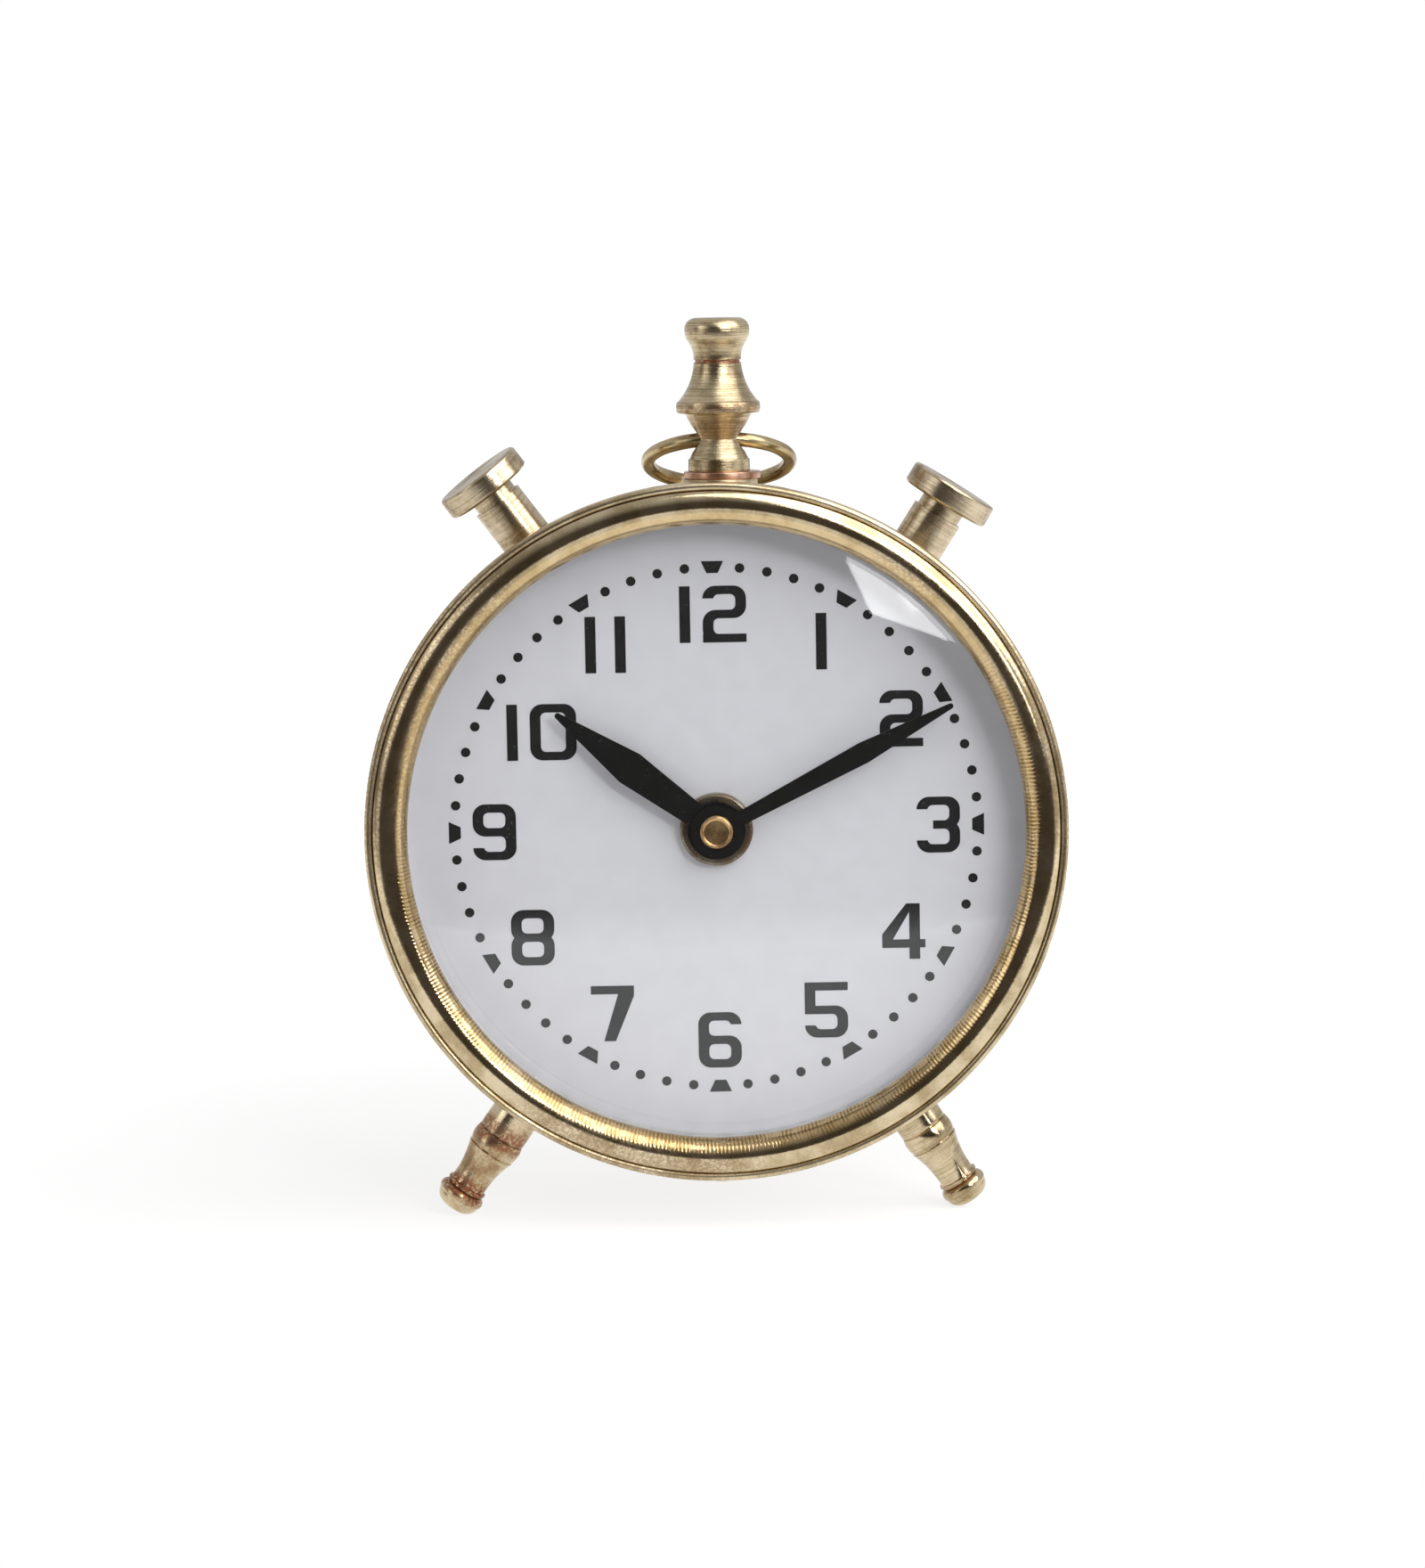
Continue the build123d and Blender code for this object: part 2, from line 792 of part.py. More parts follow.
# Motion work. A pinion is longer than the wheel it meshes with, evenly on both sides
pinion_lead = (pinion_length - wheel_thickness) / 2
motion_distance = motion_module * (cannon_tooth_count + motion_wheel_tooth_count) / 2
motion_place = step_from((0, 0), motion_distance, motion_direction)
setting_distance = motion_module * (setting_tooth_count + motion_wheel_tooth_count) / 2
setting_place = step_from(motion_place, setting_distance, setting_direction)
motion_phase = meshing_phase(0, cannon_tooth_count, motion_direction, motion_wheel_tooth_count)
motion_pinion_phase = meshing_phase(0, hour_wheel_tooth_count, motion_direction, motion_pinion_tooth_count)
setting_phase = meshing_phase(
    motion_phase, motion_wheel_tooth_count, setting_direction, setting_tooth_count
)
motion_pinion_start = hour_wheel_depth - pinion_lead
cannon_start = motion_wheel_depth - pinion_lead
cannon_end = cannon_start + pinion_length
post_end = cap_depth + cap_rim_height + cap_crown_thickness + seat_gap
minute_post_end = minute_hand_depth + hand_thickness + seat_gap
centre_arbor_end = cannon_end - centre_arbor_reach
cannon = (
    wheel((0, 0), cannon_tooth_count, motion_module, 0, cannon_start, pinion_length)
    + disc((0, 0), minute_post_radius, minute_post_end, cannon_start)
    + disc((0, 0), cap_thread_radius, post_end, minute_post_end)
    - disc((0, 0), centre_arbor_radius + running_gap, centre_arbor_end - end_gap, cannon_end)
)
save("minute_post_with_cannon_pinion", cannon)
hour_wheel_back = hour_wheel_depth + wheel_thickness
hour_wheel = (
    wheel((0, 0), hour_wheel_tooth_count, motion_module, 0, hour_wheel_depth, wheel_thickness)
    + disc((0, 0), hour_pipe_radius, hour_hand_depth, hour_wheel_depth)
    - disc((0, 0), hour_pipe_bore, hour_hand_depth, hour_wheel_back)
)
save("hour_wheel_with_pipe", hour_wheel)
front_pivot_depth = case_front_depth + case_front_wall - motion_pivot_depth
gear_plate_back = gear_plate_depth + gear_plate_thickness
motion_wheel = (
    wheel(
        motion_place,
        motion_wheel_tooth_count,
        motion_module,
        motion_phase,
        motion_wheel_depth,
        wheel_thickness,
    )
    + wheel(
        motion_place,
        motion_pinion_tooth_count,
        motion_module,
        motion_pinion_phase,
        motion_pinion_start,
        pinion_length,
    )
    + disc(motion_place, motion_arbor_radius, front_pivot_depth + seat_gap, gear_plate_back)
)
save("motion_wheel", motion_wheel)
knob_front = case_back_depth + knob_gap
setting_arbor = (
    wheel(setting_place, setting_tooth_count, motion_module, setting_phase, cannon_start, pinion_length)
    + disc(setting_place, motion_arbor_radius, front_pivot_depth + seat_gap, cannon_start)
    + disc(setting_place, setting_shaft_radius, cannon_end, knob_front)
)
save("setting_arbor", setting_arbor)
flutes = Sketch() + [
    place * Circle(knob_flute_radius) for place in PolarLocations(knob_radius, knob_flute_count)
]
knob_sketch = Pos(*setting_place) * (Circle(knob_radius) - flutes)
save("setting_knob", slab(knob_sketch, knob_front, knob_front + knob_height))

# Going train. Each wheel sits one layer behind the wheel that it drives
bridge_back = bridge_depth + bridge_thickness
train_places = {"centre": (0, 0)}
driven, driven_phase = "centre", 0
layer = train_first_depth
centre_wheel = (
    wheel((0, 0), train_tooth_counts["centre"][0], train_module, 0, layer, wheel_thickness)
    + disc((0, 0), centre_arbor_radius, centre_arbor_end, bridge_back)
)
save("centre_wheel", centre_wheel)
for name in ("third", "second", "first", "rotor"):
    teeth, pinion_teeth = train_tooth_counts[name]
    driven_teeth = train_tooth_counts[driven][0]
    direction = train_directions[name]
    distance = train_module * (driven_teeth + pinion_teeth) / 2
    place = step_from(train_places[driven], distance, direction)
    train_places[name] = place
    pinion_phase = meshing_phase(driven_phase, driven_teeth, direction, pinion_teeth)
    turning = wheel(place, pinion_teeth, train_module, pinion_phase, layer - pinion_lead, pinion_length)
    turning += disc(place, arbor_radius, gear_plate_depth, bridge_back)
    layer += layer_step
    if name == "rotor":
        save("rotor_arbor", turning)
    else:
        turning += wheel(place, teeth, train_module, pinion_phase, layer, wheel_thickness)
        save(f"{name}_wheel", turning)
    driven, driven_phase = name, pinion_phase
rotor_place = train_places["rotor"]
magnet_sketch = Pos(*rotor_place) * (Circle(magnet_radius) - Circle(arbor_radius + seat_gap))
save("rotor_magnet", slab(magnet_sketch, magnet_depth, magnet_depth + magnet_height))

# Pivot plates, posts and screws
pivots = [train_places[name] for name in ("third", "second", "first", "rotor")]
pivot_holes = [(place, arbor_radius) for place in pivots]
pivot_holes += [((0, 0), centre_arbor_radius), (setting_place, setting_shaft_radius)]
gear_plate = plate(gear_plate_depth, gear_plate_back)
bridge = plate(bridge_depth, bridge_back)
for place, radius in pivot_holes:
    gear_plate -= disc(place, radius + running_gap, gear_plate_depth, gear_plate_back)
    bridge -= disc(place, radius + running_gap, bridge_depth, bridge_back)
gear_plate -= disc(motion_place, motion_arbor_radius + running_gap, gear_plate_depth, gear_plate_back)
board_left, board_right = board_x - board_width / 2, board_x + board_width / 2
board_posts = [(board_left + board_post_inset, board_z), (board_right - board_post_inset, board_z)]
for place in post_places:
    bridge += disc(place, post_radius, gear_plate_back, bridge_depth)
    bridge -= disc(place, screw_radius + seat_gap, bridge_back - screw_length, bridge_back)
for place in board_posts:
    bridge += disc(place, board_post_radius, bridge_back, board_depth)
save("gear_plate", gear_plate)
save("train_bridge", bridge)
screws = [
    disc(place, screw_head_radius, bridge_back, bridge_back + screw_head_height)
    + disc(place, screw_radius, bridge_back - screw_length + end_gap, bridge_back)
    for place in post_places
]
save("bridge_screws", Compound(children=screws))

# Stator, core and coil
stator_hole = magnet_radius + stator_gap
stator_left = rotor_place[0] - stator_hole - stator_ring_width
stator_bottom = rotor_place[1] - stator_hole - stator_ring_width
band_top = rotor_place[1] + stator_hole + stator_ring_width
stator_sketch = block(stator_left, stator_right, stator_bottom, stator_top)
window = block(stator_left + stator_arm_width, stator_right - stator_arm_width, band_top, stator_top)
stator_sketch = stator_sketch - window - Pos(*rotor_place) * Circle(stator_hole)
stator_back = stator_depth + stator_thickness
save("stator_plate", slab(stator_sketch, stator_depth, stator_back))
coil_depth = stator_depth - stator_thickness / 2
coil_height = stator_top - core_height / 2
coil_left = stator_left + stator_arm_width + bobbin_gap
coil_right = stator_right - stator_arm_width - bobbin_gap
core = box_between(
    stator_left,
    stator_right,
    stator_top - core_height,
    stator_top,
    stator_depth - stator_thickness,
    stator_depth,
)
save("coil_core", core)
coil_axis = face * Location((coil_left, coil_height, -coil_depth), (0, 90, 0))
coil_length = coil_right - coil_left
core_slot = box_between(
    coil_left,
    coil_right,
    stator_top - core_height - seat_gap,
    stator_top + seat_gap,
    stator_depth - stator_thickness - seat_gap,
    stator_depth + seat_gap,
)
spool_radius = sqrt(core_height**2 + stator_thickness**2) / 2 + end_gap
spool = (
    upright(spool_radius, 0, coil_length)
    + upright(bobbin_radius, 0, bobbin_flange)
    + upright(bobbin_radius, coil_length - bobbin_flange, coil_length)
)
save("coil_bobbin", coil_axis * spool - core_slot)
winding = upright(winding_radius, bobbin_flange, coil_length - bobbin_flange) - upright(
    spool_radius + seat_gap, 0, coil_length
)
save("coil_winding", coil_axis * winding)

# Circuit board with its crystal and chip
board_back = board_depth + board_thickness
board_sketch = Pos(board_x, board_z) * RectangleRounded(board_width, board_height, board_corner)
save("circuit_board", slab(board_sketch, board_depth, board_back))
crystal_axis = face * Location((crystal_x, crystal_z, -board_back - crystal_radius - seat_gap), (0, 90, 0))
save("quartz_crystal", crystal_axis * Cylinder(crystal_radius, crystal_length))
chip = turned(outline((0, 0), (chip_radius, 0), (chip_top_radius, chip_height), (0, chip_height)))
save("controller_chip", face * Pos(chip_x, chip_z, -board_back) * mirror(chip, Plane.XY))

# Movement case: front half with its bush, and back half with the open battery bay
inside = RectangleRounded(2 * inner_half_width, 2 * inner_half_height, case_corner - case_wall)
outside = RectangleRounded(case_width, case_height, case_corner)
bush_front_depth = dial_front_depth - bush_rise
inside_front_depth = case_front_depth + case_front_wall
inside_back_depth = case_back_depth - case_wall
front_case = slab(outside, case_front_depth, case_split_depth) - slab(
    inside, inside_front_depth, case_split_depth
)
front_case += box_between(
    -inner_half_width,
    inner_half_width,
    bay_wall_low,
    bay_wall_height,
    inside_front_depth,
    case_split_depth,
)
front_case += disc((0, 0), bush_radius, bush_front_depth, case_front_depth)
front_case -= disc((0, 0), hour_pipe_radius + running_gap, bush_front_depth, inside_front_depth)
for place in post_places:
    front_case += disc(place, post_radius, inside_front_depth, gear_plate_depth)
for place in (motion_place, setting_place):
    front_case -= disc(place, motion_arbor_radius + running_gap, front_pivot_depth, inside_front_depth)
save("movement_front_case", front_case)
back_case = slab(outside, case_split_depth, case_back_depth) - slab(
    inside, case_split_depth, inside_back_depth
)
back_case += box_between(
    -inner_half_width, inner_half_width, bay_wall_low, bay_wall_height, case_split_depth, inside_back_depth
)
back_case -= box_between(
    -inner_half_width, inner_half_width, bay_floor, bay_wall_low, inside_back_depth, case_back_depth
)
back_case -= disc(setting_place, setting_shaft_radius + running_gap, inside_back_depth, case_back_depth)
for place in board_posts:
    back_case += disc(place, board_post_radius, board_back, inside_back_depth)
save("movement_back_case", back_case)
washer_sketch = Circle(washer_radius) - Circle(bush_radius + running_gap)
save("rubber_washer", slab(washer_sketch, dial_back_depth, case_front_depth))
dial_nut_front = dial_front_depth - dial_nut_height
dial_nut = spun(
    (bush_radius + seat_gap, dial_nut_front),
    (dial_nut_radius - dial_nut_edge, dial_nut_front),
    (dial_nut_radius, dial_nut_front + dial_nut_edge),
    (dial_nut_radius, dial_front_depth),
    (bush_radius + seat_gap, dial_front_depth),
)
save("dial_nut", dial_nut)

# Battery and its contacts
battery_height = (bay_floor + bay_wall_low) / 2
battery_depth = case_back_depth - battery_radius - end_gap
battery_left = negative_contact_reach - inner_half_width
battery = turned(
    outline(
        (0, 0),
        (battery_radius - battery_edge, 0),
        (battery_radius, battery_edge),
        (battery_radius, battery_length - battery_edge),
        (battery_radius - battery_edge, battery_length),
        (battery_cap_radius, battery_length),
        (battery_cap_radius, battery_length + battery_cap_length),
        (0, battery_length + battery_cap_length),
    )
)
battery_axis = face * Location((battery_left, battery_height, -battery_depth), (0, 90, 0))
save("battery", battery_axis * battery)
battery_tip = battery_left + battery_length + battery_cap_length


def contact(wall, touch):
    """A bent strip from a wall of the bay to the battery's end, along the battery's axis."""
    side = 1 if touch > wall else -1
    strip = outline(
        (wall, -contact_width / 2),
        (wall + side * contact_thickness, -contact_width / 2),
        (touch, 0),
        (wall + side * contact_thickness, contact_width / 2),
        (wall, contact_width / 2),
    )
    middle = Pos(0, battery_height)
    return slab(middle * strip, battery_depth - contact_width / 2, battery_depth + contact_width / 2)


save("battery_positive_contact", contact(inner_half_width, battery_tip + seat_gap))
save("battery_negative_contact", contact(-inner_half_width, battery_left - seat_gap))

# Finial with its washer, pedestal and nut, and the hole across its waist that the bow ring runs in
head_middle = finial_top - finial_head_drop
shoulder_height = finial_top - finial_shoulder_drop
neck_top = finial_top - finial_neck_drop
groove_bottom = neck_top - finial_groove_height
collar_top = finial_top - finial_collar_drop
collar_bottom = collar_top - finial_collar_height
finial_nut_top = wall_sagitta(stud_nut_radius + abs(finial_shift))
finial_nut_bottom = finial_nut_top - stud_nut_height
stud_bottom = finial_nut_bottom - stud_end_length
finial_body = turned(
    outline(
        (0, stud_bottom),
        (finial_stud_radius, stud_bottom),
        (finial_stud_radius, finial_washer_top),
        (finial_base_radius, finial_washer_top),
        (finial_base_radius, finial_base_top),
        (finial_foot_cone_radius, finial_base_top),
        (waist_radius, waist_height),
        (finial_cone_radius, collar_bottom),
        (finial_collar_radius, collar_bottom),
        (finial_collar_radius, collar_top, finial_collar_bow),
        (finial_flare_radius, collar_top),
        (finial_neck_radius, groove_bottom, -finial_flare_bow),
        (finial_neck_radius - finial_groove_depth, groove_bottom),
        (finial_neck_radius - finial_groove_depth, neck_top),
        (finial_neck_radius, neck_top),
        (finial_shoulder_radius, shoulder_height, -finial_throat_bow),
        (finial_head_radius, head_middle, finial_head_bow),
        (finial_top_radius, finial_top, finial_top_bow),
        (0, finial_top),
    )
)
hole_arc = ring_radius - ring_wire_radius - ring_hole_gap
hole_reach = finial_cone_radius + overrun
hole_middle = ring_radius - hole_arc
hole_mouth = ring_radius - sqrt(hole_arc**2 - hole_reach**2)
half_hole = outline(
    (-hole_reach, 0),
    (hole_reach, 0),
    (hole_reach, hole_mouth),
    (-hole_reach, hole_mouth, -(hole_mouth - hole_middle)),
)
ring_hole = Pos(0, 0, waist_height) * revolve(half_hole, Axis.X)
finial_frame = radial(0, finial_depth) * Pos(finial_shift, 0, 0)
save("finial", finial_frame * (finial_body - ring_hole))
washer_solid = Pos(finial_washer_shift, 0, 0) * upright(
    finial_washer_radius, finial_washer_bottom, finial_washer_top
)
stud_bore = upright(finial_stud_radius + seat_gap, stud_bottom, finial_washer_top)
save("finial_washer", finial_frame * (washer_solid - stud_bore))
pedestal = finial_frame * (upright(finial_washer_radius, 0, finial_washer_bottom) - stud_bore)
save("finial_pedestal", pedestal - drum_cylinder(drum_radius + seat_gap))
finial_nut = nut(stud_nut_radius, finial_stud_radius + seat_gap, finial_nut_bottom, finial_nut_top)
save("finial_nut", finial_frame * finial_nut)
drum -= finial_frame * upright(finial_stud_radius + seat_gap, stud_bottom, finial_washer_top)

# Bow ring, lying back on the drum
ring_drop = waist_height - drum_radius - ring_wire_radius - ring_rest_gap
ring_lie = degrees(atan2(ring_drop, sqrt((2 * ring_radius) ** 2 - ring_drop**2)))
ring_frame = finial_frame * Location((0, 0, waist_height), (-ring_lie, 0, 0))
save("bow_ring", ring_frame * Pos(0, ring_radius, 0) * Torus(ring_radius, ring_wire_radius))
print(f"bow ring lies {ring_lie:.2f} degrees below level, hinge height {face_height + waist_height:.2f}")


# Legs
def leg_steps(flare_end, beaded):
    """The outline of a leg from its foot's end, as (radius, length) steps, up to the drum."""
    collar_end = foot_collar_start + foot_collar_length
    steps = [
        (foot_end_radius, 0),
        (foot_radius, foot_length / 2, foot_length / 7),
        (leg_neck_radius, foot_length, foot_length / 7),
        (leg_neck_radius, foot_collar_start),
        (foot_collar_radius, foot_collar_start),
        (foot_collar_radius, collar_end),
        (leg_neck_radius, collar_end),
        (leg_flare_radius, flare_end, -leg_flare_bow),
    ]
    if beaded:
        steps += [
            (leg_flare_radius - leg_groove_depth, flare_end),
            (leg_flare_radius - leg_groove_depth, flare_end + leg_groove_width),
            (leg_shank_radius, flare_end + leg_groove_width),
            (leg_shank_radius, leg_bead_end, leg_bead_bow),
            (leg_shank_radius - leg_groove_depth, leg_bead_end),
            (leg_shank_radius - leg_groove_depth, leg_bead_end + leg_groove_width),
            (leg_shank_radius, leg_bead_end + leg_groove_width),
        ]
    return steps


leg_nut_top = wall_sagitta(stud_nut_radius)
leg_nut_bottom = leg_nut_top - stud_nut_height
leg_nuts = []
leg_places = {
    "left": (left_leg_angle, front_leg_depth, leg_flare_end, True),
    "right": (right_leg_angle, front_leg_depth, leg_flare_end, True),
    "rear": (180, drum_back_depth - rear_leg_inset, rear_leg_flare_end, False),
}
for name, (angle, depth, flare_end, beaded) in leg_places.items():
    steps = leg_steps(flare_end, beaded)
    foot = turned(outline((0, 0), *steps, (0, steps[-1][1])))
    drop = -(Rot(0, 180 + angle, 0) * foot).bounding_box().min.Z
    reach = (face_height - drop) / cos(radians(180 - abs(angle)))
    length = reach - drum_bore
    whole = turned(outline((0, 0), *steps, (steps[-1][0], length), (0, length)))
    frame = radial(angle, depth)
    body = frame * Location((0, 0, reach), (180, 0, 0)) * whole - drum_cylinder(drum_radius + seat_gap)
    leg_stud_bottom = leg_nut_bottom - stud_end_length
    body += frame * upright(leg_stud_radius, leg_stud_bottom, drum_radius + stud_end_length)
    save(f"{name}_leg", body)
    drum -= frame * upright(leg_stud_radius + seat_gap, drum_bore - overrun, drum_radius + overrun)
    leg_nuts.append(frame * nut(stud_nut_radius, leg_stud_radius + seat_gap, leg_nut_bottom, leg_nut_top))
save("leg_nuts", Compound(children=leg_nuts))

# Push-pieces, each along its own leaning axis. Heights there are from the middle of the head
head_low = -pusher_head_height / 2
tube_top = head_low - pusher_travel - end_gap
neck_bottom = tube_top - pusher_neck_guide
bore_floor = tube_top - pusher_tube_bore_length
pusher_nuts = []
pusher_places = {
    "left": (left_pusher_angle, left_pusher_rise, left_pusher_lean, left_pusher_forward_lean),
    "right": (right_pusher_angle, right_pusher_rise, right_pusher_lean, right_pusher_forward_lean),
}
for side, (place_angle, rise, lean, forward) in pusher_places.items():
    middle = radial(place_angle, pusher_depth) * Pos(0, 0, drum_radius + rise)
    frame = Location(middle.position) * Rot(0, lean, 0) * Rot(forward, 0, 0)
    shank_end = -pusher_shank_reach - rise
    clip_top = shank_end - seat_gap
    rod_end = clip_top - clip_thickness - end_gap
    head = turned(
        outline(
            (0, rod_end),
            (pusher_rod_radius, rod_end),
            (pusher_rod_radius, neck_bottom),
            (pusher_neck_radius, neck_bottom),
            (pusher_neck_radius, head_low),
            (pusher_head_radius - pusher_head_edge, head_low),
            (pusher_head_radius, head_low + pusher_head_edge),
            (pusher_head_radius, -head_low - pusher_head_edge),
            (pusher_head_radius - pusher_head_edge, -head_low),
            (0, -head_low),
        )
    )
    save(f"{side}_pusher", frame * head)
    tube_body = frame * (
        upright(pusher_tube_radius, shank_end, tube_top)
        - upright(pusher_neck_radius + running_gap, bore_floor, tube_top)
    ) - drum_cylinder(drum_radius + seat_gap)
    tube_body += frame * (
        upright(pusher_shank_radius, shank_end, bore_floor)
        - upright(pusher_rod_radius + running_gap, shank_end, bore_floor)
    )
    tube_body -= frame * upright(pusher_rod_radius + running_gap, shank_end, bore_floor)
    save(f"{side}_pusher_tube", tube_body)
    spring_low, spring_high = bore_floor + seat_gap, neck_bottom - seat_gap
    coil = spring(spring_radius, spring_wire_radius, spring_low, spring_high, spring_turn_count)
    save(f"{side}_pusher_spring", frame * coil)
    clip = upright(clip_radius, clip_top - clip_thickness, clip_top) - upright(
        pusher_rod_radius + seat_gap, clip_top - clip_thickness, clip_top
    )
    save(f"{side}_pusher_clip", frame * clip)
    drum -= frame * upright(pusher_shank_radius + seat_gap, shank_end, bore_floor + overrun)
    tilt = radians(abs(lean - place_angle) + forward)
    nut_dip = pusher_nut_radius * sin(tilt) + seat_gap
    nut_top = wall_sagitta(pusher_nut_radius) - drum_radius - rise - nut_dip
    pusher_nuts.append(
        frame * nut(pusher_nut_radius, pusher_shank_radius + seat_gap, nut_top - pusher_nut_height, nut_top)
    )
save("pusher_nuts", Compound(children=pusher_nuts))
save("case_drum", drum)

# Back cover, which lifts off backwards
cover_radius = drum_radius + cover_overhang
cover_step_radius = drum_radius - cover_step_inset
skirt_radius = drum_bore - running_gap
skirt_bore = skirt_radius - cover_skirt_wall
cover_back = drum_back_depth + cover_thickness
cover = spun(
    (0, drum_back_depth + cover_step_height),
    (cover_step_radius - cover_step_height, drum_back_depth + cover_step_height),
    (cover_step_radius, drum_back_depth),
    (skirt_bore, drum_back_depth),
    (skirt_bore, drum_back_depth - cover_skirt_length),
    (skirt_radius, drum_back_depth - cover_skirt_length),
    (skirt_radius, drum_back_depth),
    (cover_radius, drum_back_depth),
    (cover_radius, cover_back),
    (cover_step_radius + cover_thickness / 2, cover_back),
    (cover_step_radius + cover_thickness / 2 - cover_step_height, back_depth),
    (0, back_depth),
)
cover += box_between(
    drum_radius,
    cover_radius + cover_lip_reach,
    -cover_lip_width / 2,
    cover_lip_width / 2,
    drum_back_depth,
    cover_back,
)
cover -= box_between(
    -cover_notch_width / 2,
    cover_notch_width / 2,
    -drum_bore,
    cover_skirt_wall - skirt_bore,
    drum_back_depth - cover_skirt_length,
    drum_back_depth,
)
save("back_cover", cover)
print(f"middle of the depth {middle_depth:.3f}, back of the cover {back_depth - middle_depth:.3f}")
print("motion wheel at", motion_place, "setting arbor at", setting_place)
print("train", train_places)
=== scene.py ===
from math import atan2, cos, hypot, pi, radians, sin, sqrt

import bmesh
import bpy
from mathutils import Matrix, Vector


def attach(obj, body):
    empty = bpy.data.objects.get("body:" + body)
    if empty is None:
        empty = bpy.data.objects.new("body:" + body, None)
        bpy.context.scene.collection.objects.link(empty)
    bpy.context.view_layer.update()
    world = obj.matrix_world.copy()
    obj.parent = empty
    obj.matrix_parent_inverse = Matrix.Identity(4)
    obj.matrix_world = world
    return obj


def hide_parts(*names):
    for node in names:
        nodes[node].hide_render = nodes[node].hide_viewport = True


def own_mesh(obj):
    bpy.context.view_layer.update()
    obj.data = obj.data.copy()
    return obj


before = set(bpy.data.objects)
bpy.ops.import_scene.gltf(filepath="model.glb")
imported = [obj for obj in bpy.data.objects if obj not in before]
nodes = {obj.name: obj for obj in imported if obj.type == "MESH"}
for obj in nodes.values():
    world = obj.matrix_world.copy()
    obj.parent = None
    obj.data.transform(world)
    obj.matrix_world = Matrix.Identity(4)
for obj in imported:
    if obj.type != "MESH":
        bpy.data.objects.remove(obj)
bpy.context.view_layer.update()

# Lengths are in millimetres here, and turn into metres where a mesh is made
mm = 0.001
tiny = 1e-6
sharp_angle = radians(32)

# Places and sizes, as in the CAD source
face_height = 67.0
middle_depth = 22.21
running_gap = 0.05
seat_gap = 0.02
drum_radius = 55.0
drum_wall = 1.2
drum_back_depth = 44.0
rim_radius = 58.7
rim_edge_radius = 0.7
rim_front_depth = 0.9
rim_back_depth = 6.2
rim_back_radius = 57.9
recess_depth = 5.0
ledge_width = 2.3
ledge_thickness = 1.2
crest_outer_width = 2.4
crest_outer_drop = 1.0
crest_width = 3.28
lip_front_depth = 3.0
lip_back_depth = 3.5
glass_rise = 6.8
glass_thickness = 1.8
glass_overlap = 1.4
dial_front_depth = 9.9
dial_back_depth = 10.7
cap_depth = 4.8
cap_radius = 2.78
cap_rim_width = 0.35
cap_rim_height = 0.2
cap_thread_radius = 1.15
cap_crown_thickness = 0.4
minute_hand_depth = 5.95
bush_radius = 4.0
dial_nut_radius = 6.15
dial_nut_height = 2.0
dial_nut_edge = 0.4
finial_depth = 18.0
finial_shift = 1.5
finial_top = 85.4
finial_top_radius = 3.7
crown_middle = 83.4
crown_radius = 5.45
shoulder_height = 81.3
shoulder_radius = 4.8
neck_top = 78.4
finial_neck_radius = 4.0
groove_bottom = 77.9
groove_radius = 3.75
collar_top = 71.4
collar_top_radius = 6.75
collar_bottom = 69.5
collar_radius = 6.9
waist_height = 65.1
waist_radius = 3.45
waist_top_radius = 5.7
finial_base_top = 61.8
finial_base_radius = 5.2
finial_cone_radius = 5.0
washer_top = 59.7
washer_bottom = 58.5
washer_radius = 6.45
washer_clearance = 0.6
washer_shift = 0.5
stud_radius = 2.0
stud_bottom = 50.27
stud_hole = (50.0, 57.0)
ring_radius = 12.15
ring_wire_radius = 1.2
ring_lie = 20.73
ring_hole_clearance = 0.2
ring_hole_reach = 7.7
foot_end_radius = 1.6
foot_radius = 3.8
foot_middle = 1.95
foot_top = 3.9
foot_bulge = 0.557
ankle_radius = 3.15
bead_radius = 3.55
bead_low = 4.2
bead_high = 4.7
flare_radius = 4.25
upper_groove_radius = 3.9
upper_groove_low = 11.8
upper_groove_high = 12.1
upper_bead_radius = 4.2
upper_bead_top = 15.0
top_groove_radius = 3.85
top_groove_high = 15.3
pusher_depth = 18.0
head_radius = 7.7
head_half = 1.85
head_edge = 0.35
neck_radius = 3.85
neck_bottom = -7.35
tube_top = -3.95
tube_radius = 4.4
bore_floor = -12.95
shank_radius = 3.0
shank_reach = 6.0
rod_radius = 1.5
rod_tail = 0.92
spring_radius = 2.7
spring_wire = 0.3
spring_turns = 4
cover_radius = 55.4
cover_thickness = 1.2
cover_step_radius = 46.0
cover_step_height = 2.5
cover_skirt_length = 4.5
cover_skirt_wall = 1.1
cover_lip_reach = 2.4
cover_lip_half = 4.5
cover_notch_half = 6.0
cover_notch_top = -51.55

# For each leg: its angle clockwise from the top, its depth, and the height where its flare ends
legs = {
    "left": (-144.7, 16.2, upper_groove_low),
    "right": (146.9, 16.2, upper_groove_low),
    "rear": (180.0, 39.5, 9.8),
}

# For each push-piece: its angle, its head's height over the drum, and its lean sideways and forwards
pushers = {"left": (-33.3, 14.9, -36.5, 5.0), "right": (36.2, 13.3, 32.5, 1.5)}

# Ripples that the tool left on the bezel's lip
lip_ripples = 507
ripple_height = 0.03

drum_bore = drum_radius - drum_wall
rim_inner_radius = rim_radius - 2 * rim_edge_radius
bezel_radius = rim_inner_radius - seat_gap
crest_radius = bezel_radius - crest_outer_width
lip_radius = crest_radius - crest_width
glass_radius = lip_radius + glass_overlap
glass_sphere = (lip_radius**2 + glass_rise**2) / (2 * glass_rise)
glass_front_depth = lip_back_depth + seat_gap - glass_rise


